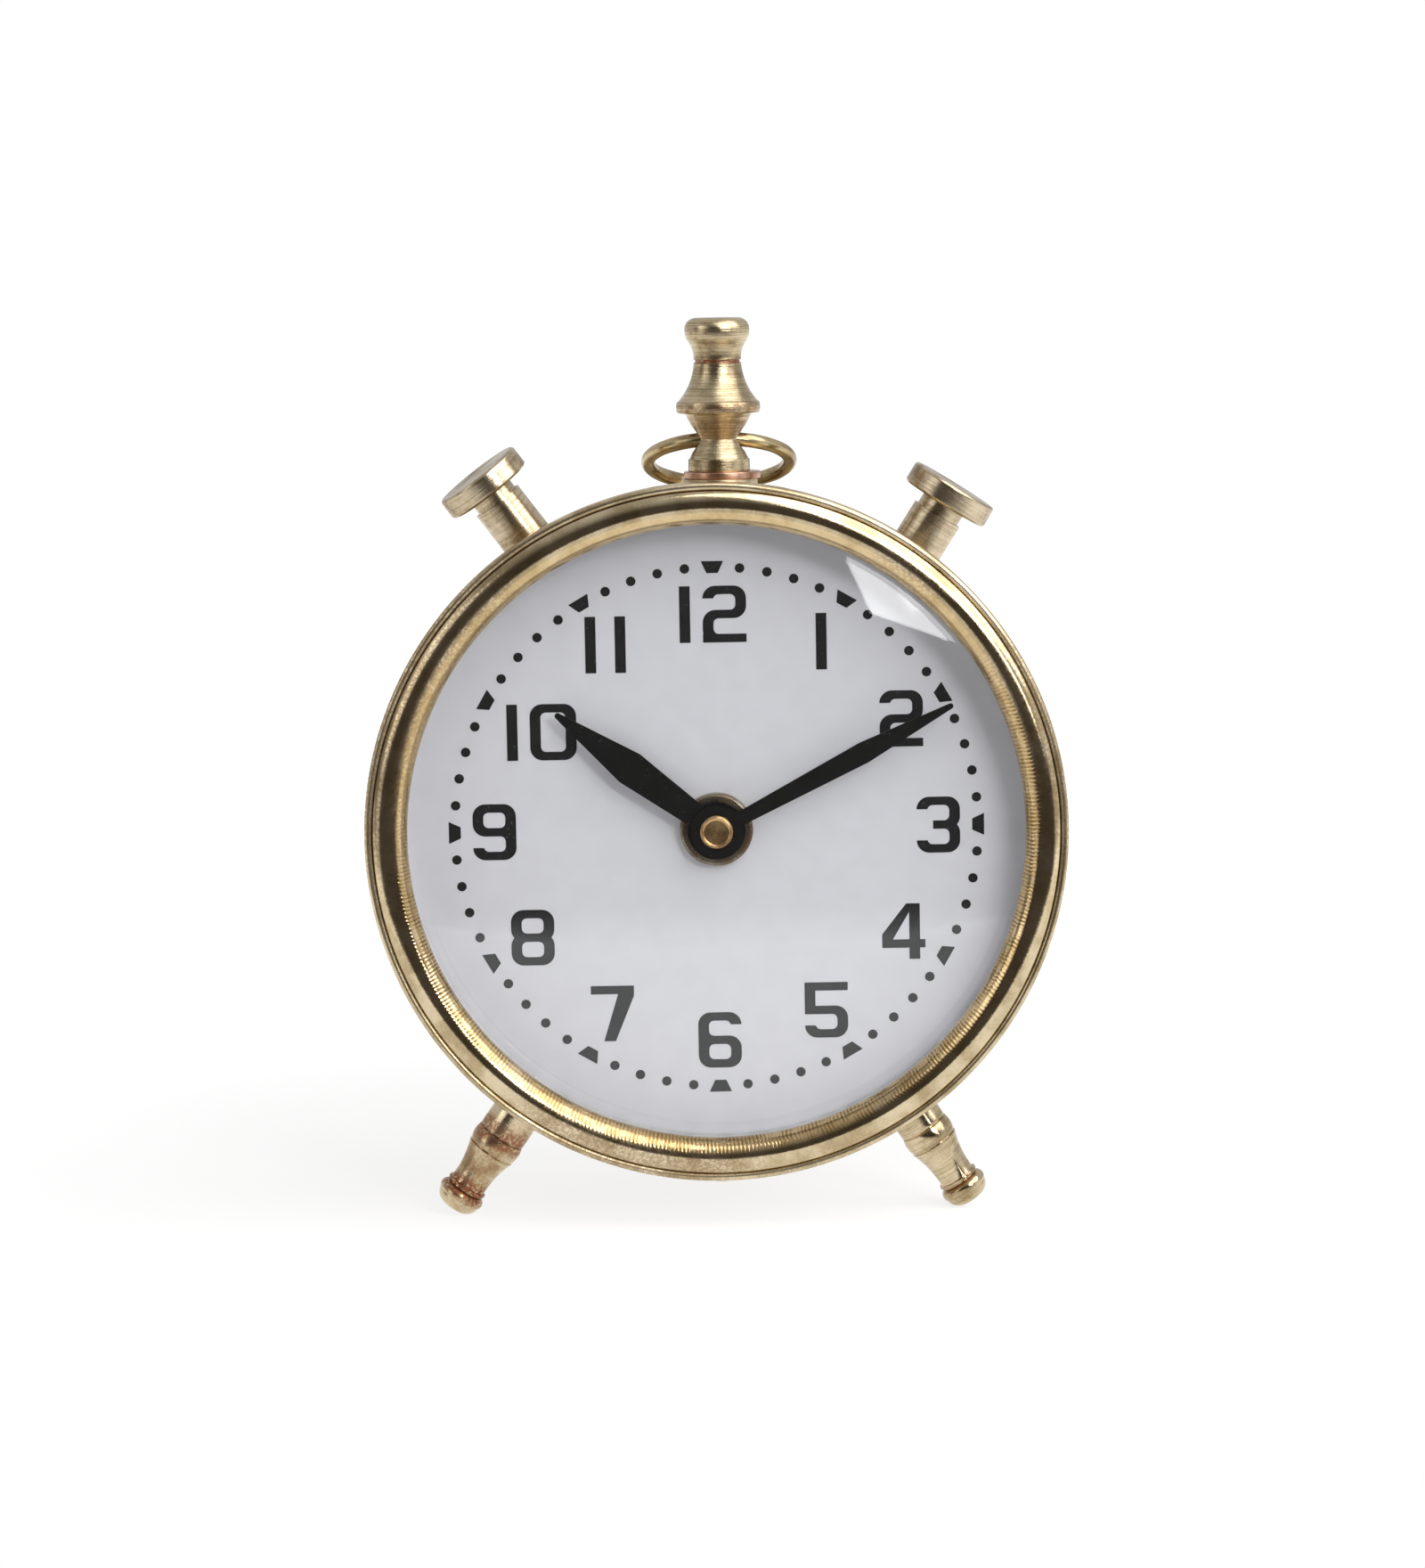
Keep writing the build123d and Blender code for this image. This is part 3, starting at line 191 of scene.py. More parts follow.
def placed(x, depth, z):
    """A point in metres from a place in the front view and a depth behind the bezel's front."""
    return Vector((x * mm, (depth - middle_depth) * mm, z * mm))


def face_frame():
    """The frame of what is turned about the middle of the face: local z points to the viewer."""
    return Matrix.Translation(placed(0, 0, face_height)) @ Matrix.Rotation(pi / 2, 4, "X")


def radial_frame(angle, depth):
    """A frame whose z axis points out from the middle of the face, clockwise from the top."""
    return Matrix.Translation(placed(0, depth, face_height)) @ Matrix.Rotation(radians(angle), 4, "Y")


def pusher_frame(side):
    """The frame of a push-piece, at the middle of its head."""
    angle, rise, lean, forward = pushers[side]
    middle = radial_frame(angle, pusher_depth) @ Vector((0, 0, (drum_radius + rise) * mm))
    turn = Matrix.Rotation(radians(lean), 4, "Y") @ Matrix.Rotation(radians(forward), 4, "X")
    return Matrix.Translation(middle) @ turn


# Profiles of turned pieces, as lists of (radius, height)
def outline(start, *steps, arc_step=0.12):
    """Points along straight runs and arcs. A third number is an arc's rise to the right of its way."""
    points = [start]
    for step in steps:
        (x0, y0), (x1, y1) = points[-1], step[:2]
        if len(step) == 3 and abs(step[2]) > tiny:
            chord = hypot(x1 - x0, y1 - y0)
            rise = step[2]
            radius = (chord**2 / 4 + rise**2) / (2 * abs(rise))
            half = 2 * atan2(abs(rise), chord / 2)
            count = max(3, int(2 * half * radius / arc_step))
            side = 1 if rise > 0 else -1
            ux, uy = (x1 - x0) / chord, (y1 - y0) / chord
            nx, ny = uy * side, -ux * side
            mx, my = (x0 + x1) / 2, (y0 + y1) / 2
            cx, cy = mx - nx * (radius - abs(rise)), my - ny * (radius - abs(rise))
            for index in range(1, count + 1):
                swing = -half + 2 * half * index / count
                along, out = radius * sin(swing), radius * cos(swing)
                points.append((cx + ux * along + nx * out, cy + uy * along + ny * out))
        else:
            points.append((x1, y1))
    return points


def smooth(share):
    """From 0 to 1 along a smooth step."""
    share = min(1.0, max(0.0, share))
    return share * share * (3 - 2 * share)


def eased(points, size, closed=False):
    """The same points with each sharp corner cut by a small round of this size."""
    made = []
    last = len(points) - 1
    for index, (x, y) in enumerate(points):
        if not closed and index in (0, last):
            made.append((x, y))
            continue
        px, py = points[index - 1]
        qx, qy = points[(index + 1) % len(points)]
        before, after = hypot(px - x, py - y), hypot(qx - x, qy - y)
        straight = before < tiny or after < tiny
        if straight or ((x - px) * (qx - x) + (y - py) * (qy - y)) / before / after > 0.9:
            made.append((x, y))
            continue
        cut = min(size, before * 0.4, after * 0.4)
        a = (x + (px - x) * cut / before, y + (py - y) * cut / before)
        b = (x + (qx - x) * cut / after, y + (qy - y) * cut / after)
        for share in (0, 0.25, 0.5, 0.75, 1):
            w0, w1, w2 = (1 - share) ** 2, 2 * share * (1 - share), share**2
            made.append((w0 * a[0] + w1 * x + w2 * b[0], w0 * a[1] + w1 * y + w2 * b[1]))
    return made


def divided(points, step, low=None, high=None):
    """The same points with more between them, no further apart than a step, within a height range."""
    made = [points[0]]
    for (x0, y0), (x1, y1) in zip(points, points[1:]):
        length = hypot(x1 - x0, y1 - y0)
        inside = low is None or (low <= (y0 + y1) / 2 <= high or min(y0, y1) < low < max(y0, y1))
        count = max(1, int(length / step)) if inside else 1
        for index in range(1, count + 1):
            share = index / count
            made.append((x0 + (x1 - x0) * share, y0 + (y1 - y0) * share))
    return made


def outward(mesh):
    """Turns all faces of a closed mesh outwards."""
    work = bmesh.new()
    work.from_mesh(mesh)
    bmesh.ops.recalc_face_normals(work, faces=work.faces)
    work.to_mesh(mesh)
    work.free()


def stood(name, data, place):
    """A new object in the scene, from its data and its place."""
    piece = bpy.data.objects.new(name, data)
    bpy.context.scene.collection.objects.link(piece)
    piece.matrix_world = place
    return piece


def lathe(name, points, place, slices=96, shift=None):
    """A solid turned about its z axis. A profile that starts or ends off the axis is closed.
    shift(angle, length, radius, height) gives a change of (radius, height).
    The mesh keeps where a point lies on the turned surface: (cosine, sine, length along the profile)."""
    lengths = [0.0]
    for (x0, y0), (x1, y1) in zip(points, points[1:]):
        lengths.append(lengths[-1] + hypot(x1 - x0, y1 - y0))
    vertices, turned, rows = [], [], []
    for (radius, height), length in zip(points, lengths):
        if radius < tiny:
            rows.append([len(vertices)] * slices)
            vertices.append((0, 0, height * mm))
            turned.append((0, 0, length))
            continue
        row = []
        for index in range(slices):
            angle = 2 * pi * index / slices
            out, up = radius, height
            if shift:
                more_out, more_up = shift(angle, length, radius, height)
                out, up = out + more_out, up + more_up
            row.append(len(vertices))
            vertices.append((out * cos(angle) * mm, out * sin(angle) * mm, up * mm))
            turned.append((cos(angle), sin(angle), length))
        rows.append(row)
    faces = []
    pairs = list(zip(rows, rows[1:]))
    if len(set(rows[0])) > 1 and len(set(rows[-1])) > 1:
        pairs.append((rows[-1], rows[0]))
    for low, high in pairs:
        for index in range(slices):
            after = (index + 1) % slices
            corners = [low[index], low[after], high[after], high[index]]
            kept = []
            for corner in corners:
                if corner not in kept:
                    kept.append(corner)
            if len(kept) > 2:
                faces.append(kept)
    mesh = bpy.data.meshes.new(name)
    mesh.from_pydata(vertices, [], faces)
    mesh.attributes.new("turned", "FLOAT_VECTOR", "POINT").data.foreach_set(
        "vector", [value for triple in turned for value in triple]
    )
    mesh.update()
    outward(mesh)
    mesh.shade_smooth()
    mesh.set_sharp_from_angle(angle=sharp_angle)
    return stood(name, mesh, place)


def joined(name, pieces):
    """One object from several."""
    bpy.ops.object.select_all(action="DESELECT")
    for piece in pieces:
        piece.select_set(True)
    bpy.context.view_layer.objects.active = pieces[0]
    bpy.ops.object.join()
    pieces[0].name = name
    return pieces[0]


def drilled(piece, cutters):
    """The piece with the cutters' solids taken out of it."""
    for cutter in cutters:
        change = piece.modifiers.new("drill", "BOOLEAN")
        change.operation = "DIFFERENCE"
        change.solver = "EXACT"
        change.object = cutter
    bpy.context.view_layer.update()
    made = bpy.data.meshes.new_from_object(piece.evaluated_get(bpy.context.evaluated_depsgraph_get()))
    piece.modifiers.clear()
    piece.data = made
    for cutter in cutters:
        bpy.data.objects.remove(cutter)
    return piece


# Materials
class Graph:
    """The nodes of a material or a world, with short calls for the usual ones."""

    def __init__(self, owner, output="ShaderNodeOutputMaterial"):
        self.owner = owner
        self.owner.use_nodes = True
        self.tree = self.owner.node_tree
        self.tree.nodes.clear()
        self.output = self.tree.nodes.new(output)

    def node(self, kind, **values):
        made = self.tree.nodes.new(kind)
        for key, value in values.items():
            setattr(made, key, value)
        return made

    def put(self, socket, value):
        if isinstance(value, bpy.types.NodeSocket):
            self.tree.links.new(value, socket)
        else:
            socket.default_value = value

    def math(self, operation, *values, clamp=False):
        made = self.node("ShaderNodeMath", operation=operation, use_clamp=clamp)
        for socket, value in zip(made.inputs, values):
            self.put(socket, value)
        return made.outputs[0]

    def plus(self, first, second, clamp=False):
        return self.math("ADD", first, second, clamp=clamp)

    def minus(self, first, second):
        return self.math("SUBTRACT", first, second)

    def times(self, first, second):
        return self.math("MULTIPLY", first, second)

    def highest(self, first, *others):
        for other in others:
            first = self.math("MAXIMUM", first, other)
        return first

    def vector(self, operation, *values):
        made = self.node("ShaderNodeVectorMath", operation=operation)
        for socket, value in zip(made.inputs, values):
            self.put(socket, value)
        return made.outputs[0]

    def vector_length(self, value):
        made = self.node("ShaderNodeVectorMath", operation="LENGTH")
        self.put(made.inputs[0], value)
        return made.outputs["Value"]

    def split(self, value):
        made = self.node("ShaderNodeSeparateXYZ")
        self.put(made.inputs[0], value)
        return made.outputs

    def combine(self, x, y, z):
        made = self.node("ShaderNodeCombineXYZ")
        for socket, value in zip(made.inputs, (x, y, z)):
            self.put(socket, value)
        return made.outputs[0]

    def noise(self, vector, scale, detail=3.0, roughness=0.5):
        made = self.node("ShaderNodeTexNoise")
        self.put(made.inputs["Vector"], vector)
        made.inputs["Scale"].default_value = scale
        made.inputs["Detail"].default_value = detail
        made.inputs["Roughness"].default_value = roughness
        return made.outputs["Fac"]

    def spread(self, value, low, high):
        """From 0 at the low value to 1 at the high one, along a smooth step."""
        made = self.node("ShaderNodeMapRange", interpolation_type="SMOOTHSTEP")
        for socket, number in zip(made.inputs, (value, low, high)):
            self.put(socket, number)
        return made.outputs[0]

    def mix(self, share, first, second):
        made = self.node("ShaderNodeMix", data_type="RGBA")
        self.put(made.inputs[0], share)
        self.put(made.inputs[6], first)
        self.put(made.inputs[7], second)
        return made.outputs[2]

    def bump(self, height, distance, normal=None):
        made = self.node("ShaderNodeBump")
        made.inputs["Distance"].default_value = distance * mm
        self.put(made.inputs["Height"], height)
        if normal:
            self.put(made.inputs["Normal"], normal)
        return made.outputs[0]

    def place(self):
        """The place on the object, in millimetres."""
        made = self.node("ShaderNodeVectorMath", operation="SCALE")
        self.put(made.inputs[0], self.node("ShaderNodeTexCoord").outputs["Object"])
        made.inputs["Scale"].default_value = 1 / mm
        return made.outputs[0]

    def attribute(self, name):
        return self.node("ShaderNodeAttribute", attribute_name=name).outputs["Vector"]

    def principled(self, colour, roughness, normal, **sockets):
        made = self.node("ShaderNodeBsdfPrincipled")
        self.put(made.inputs["Base Color"], colour)
        self.put(made.inputs["Roughness"], roughness)
        self.put(made.inputs["Normal"], normal)
        for key, value in sockets.items():
            made.inputs[key.replace("_", " ")].default_value = value
        self.put(self.output.inputs["Surface"], made.outputs[0])
        return made


def linear(value):
    """A screen value from 0 to 255 as linear light."""
    value /= 255
    return value / 12.92 if value <= 0.04045 else ((value + 0.055) / 1.055) ** 2.4


def colour(red, green, blue):
    return (linear(red), linear(green), linear(blue), 1.0)


rust = colour(138, 74, 46)
speck_brown = colour(70, 44, 30)
dust_grey = colour(190, 190, 190)
lip_gold = colour(216, 182, 122)
# Painted shade for the troughs of the ripples on the bezel's lip
lip_ripple_painted_shade = colour(148, 112, 54)


def brass(
    name, light=(220, 203, 170), dark=(188, 169, 132), stain=(128, 102, 76), stain_share=0.3, specks=0.76,
    roughness=0.2, ring=6.0, groove=0.012, lines=0.2, anisotropic=0.5, streak=1.3, patches=(), bands=(),
    mottle=0.25, lip=False, seed=0.0,
):
    """Turned brass with an aged skin: fine turning marks, cloudy colour, stains and brown specks.
    ring is how close the marks are, groove their depth in mm, lines their share in the colour and streak
    how short they are. specks is the noise level where specks start, and mottle the strength of the grain.
    Patches are sectors of the clock face that are stained more, as (angle, half width, strength).
    Bands are rusty zones along the axis, as (height, half width, strength).
    lip adds the golden, rippled strip next to the glass, with painted shade in the troughs of its ripples."""
    graph = Graph(bpy.data.materials.new(name))
    here = graph.vector("ADD", graph.place(), (seed, seed * 0.7, -seed))
    own = graph.split(graph.place())
    turned = graph.split(graph.attribute("turned"))
    marks = graph.combine(
        graph.times(turned[0], streak), graph.times(turned[1], streak), graph.times(turned[2], ring)
    )

    # Three noises: the marks, clouds of about 7 mm and a grain of about 0.5 mm
    fine = graph.noise(marks, 1.0, detail=4.0, roughness=0.65)
    cloud = graph.noise(here, 0.14, detail=4.0, roughness=0.6)
    grain = graph.noise(here, 1.8, detail=4.0, roughness=0.7)

    # Bare metal
    tone = graph.plus(graph.times(cloud, 1 - lines), graph.times(fine, lines))
    skin = graph.mix(graph.spread(tone, 0.38, 0.64), colour(*light), colour(*dark))
    skin = graph.mix(graph.times(graph.spread(grain, 0.45, 0.75), mottle), skin, colour(*stain))

    # Stains, rust and specks
    worn = graph.spread(graph.plus(graph.times(cloud, 0.7), graph.times(grain, 0.3)), 0.5, 0.66)
    worn = graph.times(worn, stain_share)
    if patches or lip:
        turn = graph.math("ARCTAN2", own[0], own[1])
    for angle, half, strength in patches:
        near = graph.math("COSINE", graph.minus(turn, radians(angle)))
        near = graph.spread(near, cos(radians(half * 1.4)), cos(radians(half * 0.5)))
        speckled = graph.times(graph.spread(grain, 0.38, 0.56), near)
        worn = graph.highest(worn, graph.times(speckled, strength))
    skin = graph.mix(worn, skin, colour(*stain))
    for height, half, strength in bands:
        away = graph.math("ABSOLUTE", graph.minus(own[2], height))
        crust = graph.times(graph.spread(away, half, half * 0.4), graph.spread(grain, 0.36, 0.52))
        crust = graph.times(crust, strength)
        skin = graph.mix(crust, skin, rust)
        worn = graph.highest(worn, crust)
    dots = graph.spread(graph.noise(here, 5.5, detail=1.0), specks, specks + 0.04)
    skin = graph.mix(graph.times(dots, 0.75), skin, speck_brown)

    # Gloss and unevenness
    rough = graph.plus(roughness, graph.times(graph.minus(fine, 0.5), 0.16))
    rough = graph.plus(rough, graph.times(graph.plus(worn, dots), 0.3), clamp=True)
    normal = graph.bump(fine, groove)
    uneven = graph.plus(graph.times(grain, 0.5), graph.times(cloud, 2.0))
    normal = graph.bump(uneven, 0.02, normal=normal)
    if lip:
        squares = [graph.math("POWER", own[axis], 2.0) for axis in (0, 1)]
        radius = graph.math("SQRT", graph.plus(*squares))
        on_lip = graph.spread(radius, lip_radius + 2.5, lip_radius + 1.9)
        skin = graph.mix(graph.times(on_lip, 0.4), skin, lip_gold)
        wander = graph.times(graph.noise(here, 0.35), 5.0)
        wave = graph.math("SINE", graph.plus(graph.times(turn, lip_ripples), wander))
        rippled = graph.spread(graph.math("COSINE", graph.minus(turn, radians(165))), -0.45, 0.0)
        strength = graph.times(graph.times(rippled, on_lip), graph.spread(graph.noise(here, 0.5), 0.3, 0.6))
        normal = graph.bump(graph.times(wave, strength), 0.012, normal=normal)
        # Painted shade: the colour is darkened in the troughs of the ripples
        painted_ripple_shade = graph.times(strength, graph.spread(wave, 0.5, -0.6))
        skin = graph.mix(graph.times(painted_ripple_shade, 0.75), skin, lip_ripple_painted_shade)
    shader = graph.principled(
        skin, rough, normal, Metallic=1.0, Anisotropic=anisotropic, Anisotropic_Rotation=0.25
    )
    tangent = graph.node("ShaderNodeTangent", direction_type="RADIAL", axis="Z")
    graph.put(shader.inputs["Tangent"], tangent.outputs[0])
    return graph.owner


def plain(name, tone, roughness, metallic=0.0, vary=0.12, grain=3.0, bump=0.01, dust=0.0, **sockets):
    """A moulded, painted or stamped surface with slight mottling, dust and unevenness."""
    graph = Graph(bpy.data.materials.new(name))
    here = graph.place()
    cloud = graph.noise(here, 0.25, detail=3.0)
    fine = graph.noise(here, grain, detail=4.0, roughness=0.6)
    darker = tuple(value * (1 - vary) for value in colour(*tone)[:3]) + (1.0,)
    lighter = tuple(min(1.0, value * (1 + vary)) for value in colour(*tone)[:3]) + (1.0,)
    skin = graph.mix(graph.spread(cloud, 0.35, 0.65), darker, lighter)
    if dust:
        specks = graph.spread(graph.noise(here, 3.2, detail=1.0), 0.73, 0.77)
        skin = graph.mix(graph.times(specks, dust), skin, dust_grey)
    rough = graph.plus(roughness, graph.times(graph.minus(fine, 0.5), 0.2), clamp=True)
    graph.principled(skin, rough, graph.bump(fine, bump), Metallic=metallic, **sockets)
    return graph.owner


def use(name, material, bevel=0.0):
    """Gives a carried-over CAD node its material, and softens its edges by a bevel in mm."""
    node = nodes[name]
    node.data.materials.clear()
    node.data.materials.append(material)
    if bevel:
        change = node.modifiers.new("edges", "BEVEL")
        change.width = bevel * mm
        change.segments = 2
        change.limit_method = "ANGLE"
        change.angle_limit = radians(40)


def piece_done(piece, material, body, slot, *replaced):
    """Gives a piece its material and body, and hides the CAD nodes that it stands for. The slot is not
    used.
    """
    piece.data.materials.clear()
    piece.data.materials.append(material)
    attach(piece, body)
    if replaced:
        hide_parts(*replaced)


brass_rim = brass(
    "brass_rim", roughness=0.085, ring=7.0, groove=0.004, lines=0.1, anisotropic=0.3,
    stain_share=0.2, mottle=0.1, lip=True, seed=3.0,
    patches=((-70, 26, 0.5), (75, 18, 0.4), (195, 20, 0.5), (-45, 8, 0.5), (38, 7, 0.4)),
)
brass_drum = brass(
    "brass_drum", roughness=0.26, ring=7.0, groove=0.008, lines=0.1, seed=11.0,
    patches=((-62, 30, 0.5), (75, 22, 0.45), (197, 16, 0.45), (165, 8, 0.3)),
)
brass_finial = brass(
    "brass_finial", light=(208, 192, 158), dark=(146, 128, 96), roughness=0.17, ring=6.5, groove=0.04,
    lines=0.62, anisotropic=0.6, streak=0.5, stain_share=0.5,
    bands=((78.15, 0.45, 0.9), (70.5, 1.2, 0.35), (66.5, 3.0, 0.25)), seed=23.0,
)
brass_leg_right = brass(
    "brass_leg_right", dark=(160, 141, 104), roughness=0.1, ring=5.0, groove=0.014, lines=0.45,
    streak=0.5, stain_share=0.3, bands=((4.0, 0.9, 0.3),), seed=37.0,
)
brass_leg_left = brass(
    "brass_leg_left", roughness=0.15, ring=5.0, groove=0.02, lines=0.3, streak=0.5,
    stain=(140, 96, 64), stain_share=0.6, bands=((4.4, 2.6, 0.85), (15.5, 3.0, 0.7)), specks=0.7, seed=41.0,
)
brass_pedestal = brass("brass_pedestal", roughness=0.3, ring=7.0, groove=0.014, stain_share=0.5, seed=29.0)
brass_pusher = brass(
    "brass_pusher", light=(212, 196, 168), dark=(160, 142, 112), roughness=0.23, ring=2.6, groove=0.04,
    lines=0.4, streak=0.4, stain_share=0.6, seed=53.0,
)
brass_ring = brass(
    "brass_ring", light=(196, 177, 138), dark=(146, 126, 90), roughness=0.2, ring=1.0, groove=0.006,
    seed=61.0,
)
brass_hub = brass(
    "brass_hub", light=(176, 166, 148), dark=(118, 106, 90), roughness=0.26, groove=0.008,
    stain_share=0.6, seed=71.0,
)
brass_cap = brass(
    "brass_cap", light=(222, 184, 132), dark=(176, 138, 92), roughness=0.26, groove=0.01, stain_share=0.6,
    seed=77.0,
)
brass_cover = brass(
    "brass_cover", roughness=0.3, ring=3.0, groove=0.01, stain_share=0.12, mottle=0.15, seed=83.0
)
copper_washer = brass(
    "copper_washer", light=(222, 182, 158), dark=(180, 136, 112), roughness=0.28, groove=0.016, seed=91.0
)
dial_white = plain(
    "dial_white", (230, 229, 235), 0.5, vary=0.015, grain=6.0, bump=0.001, Specular_IOR_Level=0.3
)
print_black = plain(
    "print_black", (22, 22, 25), 0.5, vary=0.25, grain=6.0, bump=0.003, dust=0.25, Specular_IOR_Level=0.3
)
hand_black = plain(
    "hand_black", (7, 7, 8), 0.4, vary=0.25, grain=5.0, bump=0.003, dust=0.35, Specular_IOR_Level=0.3
)
wheel_brass = plain("wheel_brass", (205, 165, 90), 0.28, metallic=1.0)
wheel_plastic = plain("wheel_plastic", (226, 222, 208), 0.42)
case_plastic = plain("case_plastic", (26, 26, 28), 0.5, bump=0.02)
rubber = plain("rubber", (32, 32, 32), 0.8, bump=0.02)
steel = plain("steel", (172, 174, 178), 0.3, metallic=1.0)
magnet = plain("magnet", (70, 70, 74), 0.4, metallic=0.8)
copper_wire = plain("copper_wire", (176, 92, 52), 0.35, metallic=1.0)
board_green = plain("board_green", (34, 92, 56), 0.45)
chip_black = plain("chip_black", (20, 20, 22), 0.45)
battery_wrap = plain("battery_wrap", (60, 66, 74), 0.35)
spacer_white = plain("spacer_white", (205, 205, 205), 0.5)
nut_brass = plain("nut_brass", (196, 160, 96), 0.3, metallic=1.0)
# The share that a glass face reflects straight on
straight_reflection = 0.043


def glass_material():
    """Clear glass that light passes straight through, with reflections by angle on both of its faces."""
    graph = Graph(bpy.data.materials.new("clear_glass"))
    smear = graph.noise(graph.place(), 0.05, detail=3.0)
    clear = graph.node("ShaderNodeBsdfTransparent")
    clear.inputs[0].default_value = (0.985, 0.99, 0.99, 1.0)
    gloss = graph.node("ShaderNodeBsdfGlossy")
    graph.put(gloss.inputs["Roughness"], graph.times(smear, 0.03))
    graph.put(gloss.inputs["Normal"], graph.bump(smear, 0.004))
    facing = graph.node("ShaderNodeLayerWeight")
    facing.inputs["Blend"].default_value = 0.5
    slant = graph.math("POWER", facing.outputs["Facing"], 5.0)
    share = graph.plus(straight_reflection, graph.times(slant, 1 - straight_reflection))
    mixed = graph.node("ShaderNodeMixShader")
    graph.put(mixed.inputs[0], share)
    graph.put(mixed.inputs[1], clear.outputs[0])
    graph.put(mixed.inputs[2], gloss.outputs[0])
    graph.put(graph.output.inputs["Surface"], mixed.outputs[0])
    return graph.owner


# Drum
shoulder = rim_back_radius - drum_radius
drum_profile = outline(
    (rim_inner_radius, -(rim_front_depth + rim_edge_radius)),
    (rim_radius, -(rim_front_depth + rim_edge_radius), -rim_edge_radius),
    (rim_radius, -(rim_back_depth - (rim_radius - rim_back_radius))),
    (rim_back_radius, -rim_back_depth),
    (drum_radius, -(rim_back_depth + shoulder), shoulder * (1 - sqrt(0.5))),
    (drum_radius, -drum_back_depth),
    (drum_bore, -drum_back_depth),
    (drum_bore, -(dial_back_depth + ledge_thickness)),
    (drum_bore - ledge_width, -(dial_back_depth + ledge_thickness)),
    (drum_bore - ledge_width, -dial_back_depth),
    (drum_bore, -dial_back_depth),
    (drum_bore, -recess_depth),
    (rim_inner_radius, -recess_depth),
)


def cylinder(radius, low, high, place, slices=48):
    """A plain round cutter for a hole."""
    return lathe("cutter", [(0, low), (radius, low), (radius, high), (0, high)], place, slices)


def saddle(place, radius):
    """Gives the local height at which a frame's point (x, y) meets the round of the drum."""
    middle_x = place.translation.x / mm
    middle_z = place.translation.z / mm - face_height
    turn = place.to_3x3()
    way = turn.col[2]
    side = -1 if way.dot(place.translation - Vector((0, 0, face_height * mm))) < 0 else 1

    def height(x, y):
        px = (turn @ Vector((x, y, 0))).x + middle_x
        pz = (turn @ Vector((x, y, 0))).z + middle_z
        a = way.x * way.x + way.z * way.z
        b = px * way.x + pz * way.z
        c = px * px + pz * pz - radius * radius
        return (side * sqrt(b * b - a * c) - b) / a

    return height


def saddled(height_at, low, high, inner=0.0):
    """A lathe shift that lays the points of a height range, outside a radius, onto the drum."""

    def shift(angle, length, radius, height):
        if low < height < high and radius > inner:
            return (0, height_at(radius * cos(angle), radius * sin(angle)) - height)
        return (0, 0)

    return shift


drum = lathe("drum", eased(drum_profile, 0.15, closed=True), face_frame(), slices=360)
finial_place = radial_frame(0, finial_depth) @ Matrix.Translation((finial_shift * mm, 0, 0))
stud_places = [finial_place] + [radial_frame(angle, depth) for angle, depth, _ in legs.values()]
cutters = [cylinder(stud_radius + seat_gap, *stud_hole, place) for place in stud_places]
for side, (_, rise, _, _) in pushers.items():
    shank_hole = (-shank_reach - rise, bore_floor + 2.0)
    cutters.append(cylinder(shank_radius + seat_gap, *shank_hole, pusher_frame(side)))
drilled(drum, cutters)
drum.data.set_sharp_from_angle(angle=sharp_angle)
piece_done(drum, brass_drum, "case", "brass", "case_drum")


def level_arc_rise(width, drop):
    """How far an arc that starts level at the crest bows out from its chord."""
    chord_squared = width**2 + drop**2
    radius = chord_squared / (2 * drop)
    return radius - sqrt(radius**2 - chord_squared / 4)


# Bezel
bezel_profile = outline(
    (bezel_radius, -recess_depth),
    (bezel_radius, -crest_outer_drop),
    (crest_radius, 0, level_arc_rise(crest_outer_width, crest_outer_drop)),
    (lip_radius, -lip_front_depth, level_arc_rise(crest_width, lip_front_depth)),
    (lip_radius, -lip_back_depth),
    (glass_radius + seat_gap, -lip_back_depth),
    (glass_radius + seat_gap, -recess_depth),
    arc_step=0.3,
)


def ripple(angle, length, radius, height):
    """The ripples on the lip: strong in the lower half, and uneven along it."""
    inside = smooth((radius - lip_radius) / 0.3) * smooth((lip_radius + 2.6 - radius) / 0.5)
    low = smooth((cos(angle - radians(-75)) + 0.45) / 0.45)
    uneven = 0.55 + 0.3 * sin(9 * angle + 1.0) + 0.15 * sin(31 * angle)
    if height < -lip_front_depth or inside * low == 0:
        return (0, 0)
    return (0, ripple_height * sin(angle * lip_ripples) * inside * low * uneven)


bezel = lathe(
    "bezel", eased(bezel_profile, 0.1, closed=True), face_frame(), slices=3 * lip_ripples, shift=ripple
)
piece_done(bezel, brass_rim, "case", "brass", "bezel_ring")


# Glass, as parts of two spheres with one middle
def sphere_points(sphere, rings=24):
    """Points of a glass surface, from the middle to the edge."""
    radii = [glass_radius * ring / rings for ring in range(rings + 1)]
    return [
        (radius, -(glass_front_depth + glass_sphere - sqrt(sphere**2 - radius**2))) for radius in radii
    ]


front = sphere_points(glass_sphere)
back = sphere_points(glass_sphere - glass_thickness)[::-1]
glass = lathe("glass", front + back, face_frame(), slices=180)
piece_done(glass, glass_material(), "case", "glass", "glass_dome")

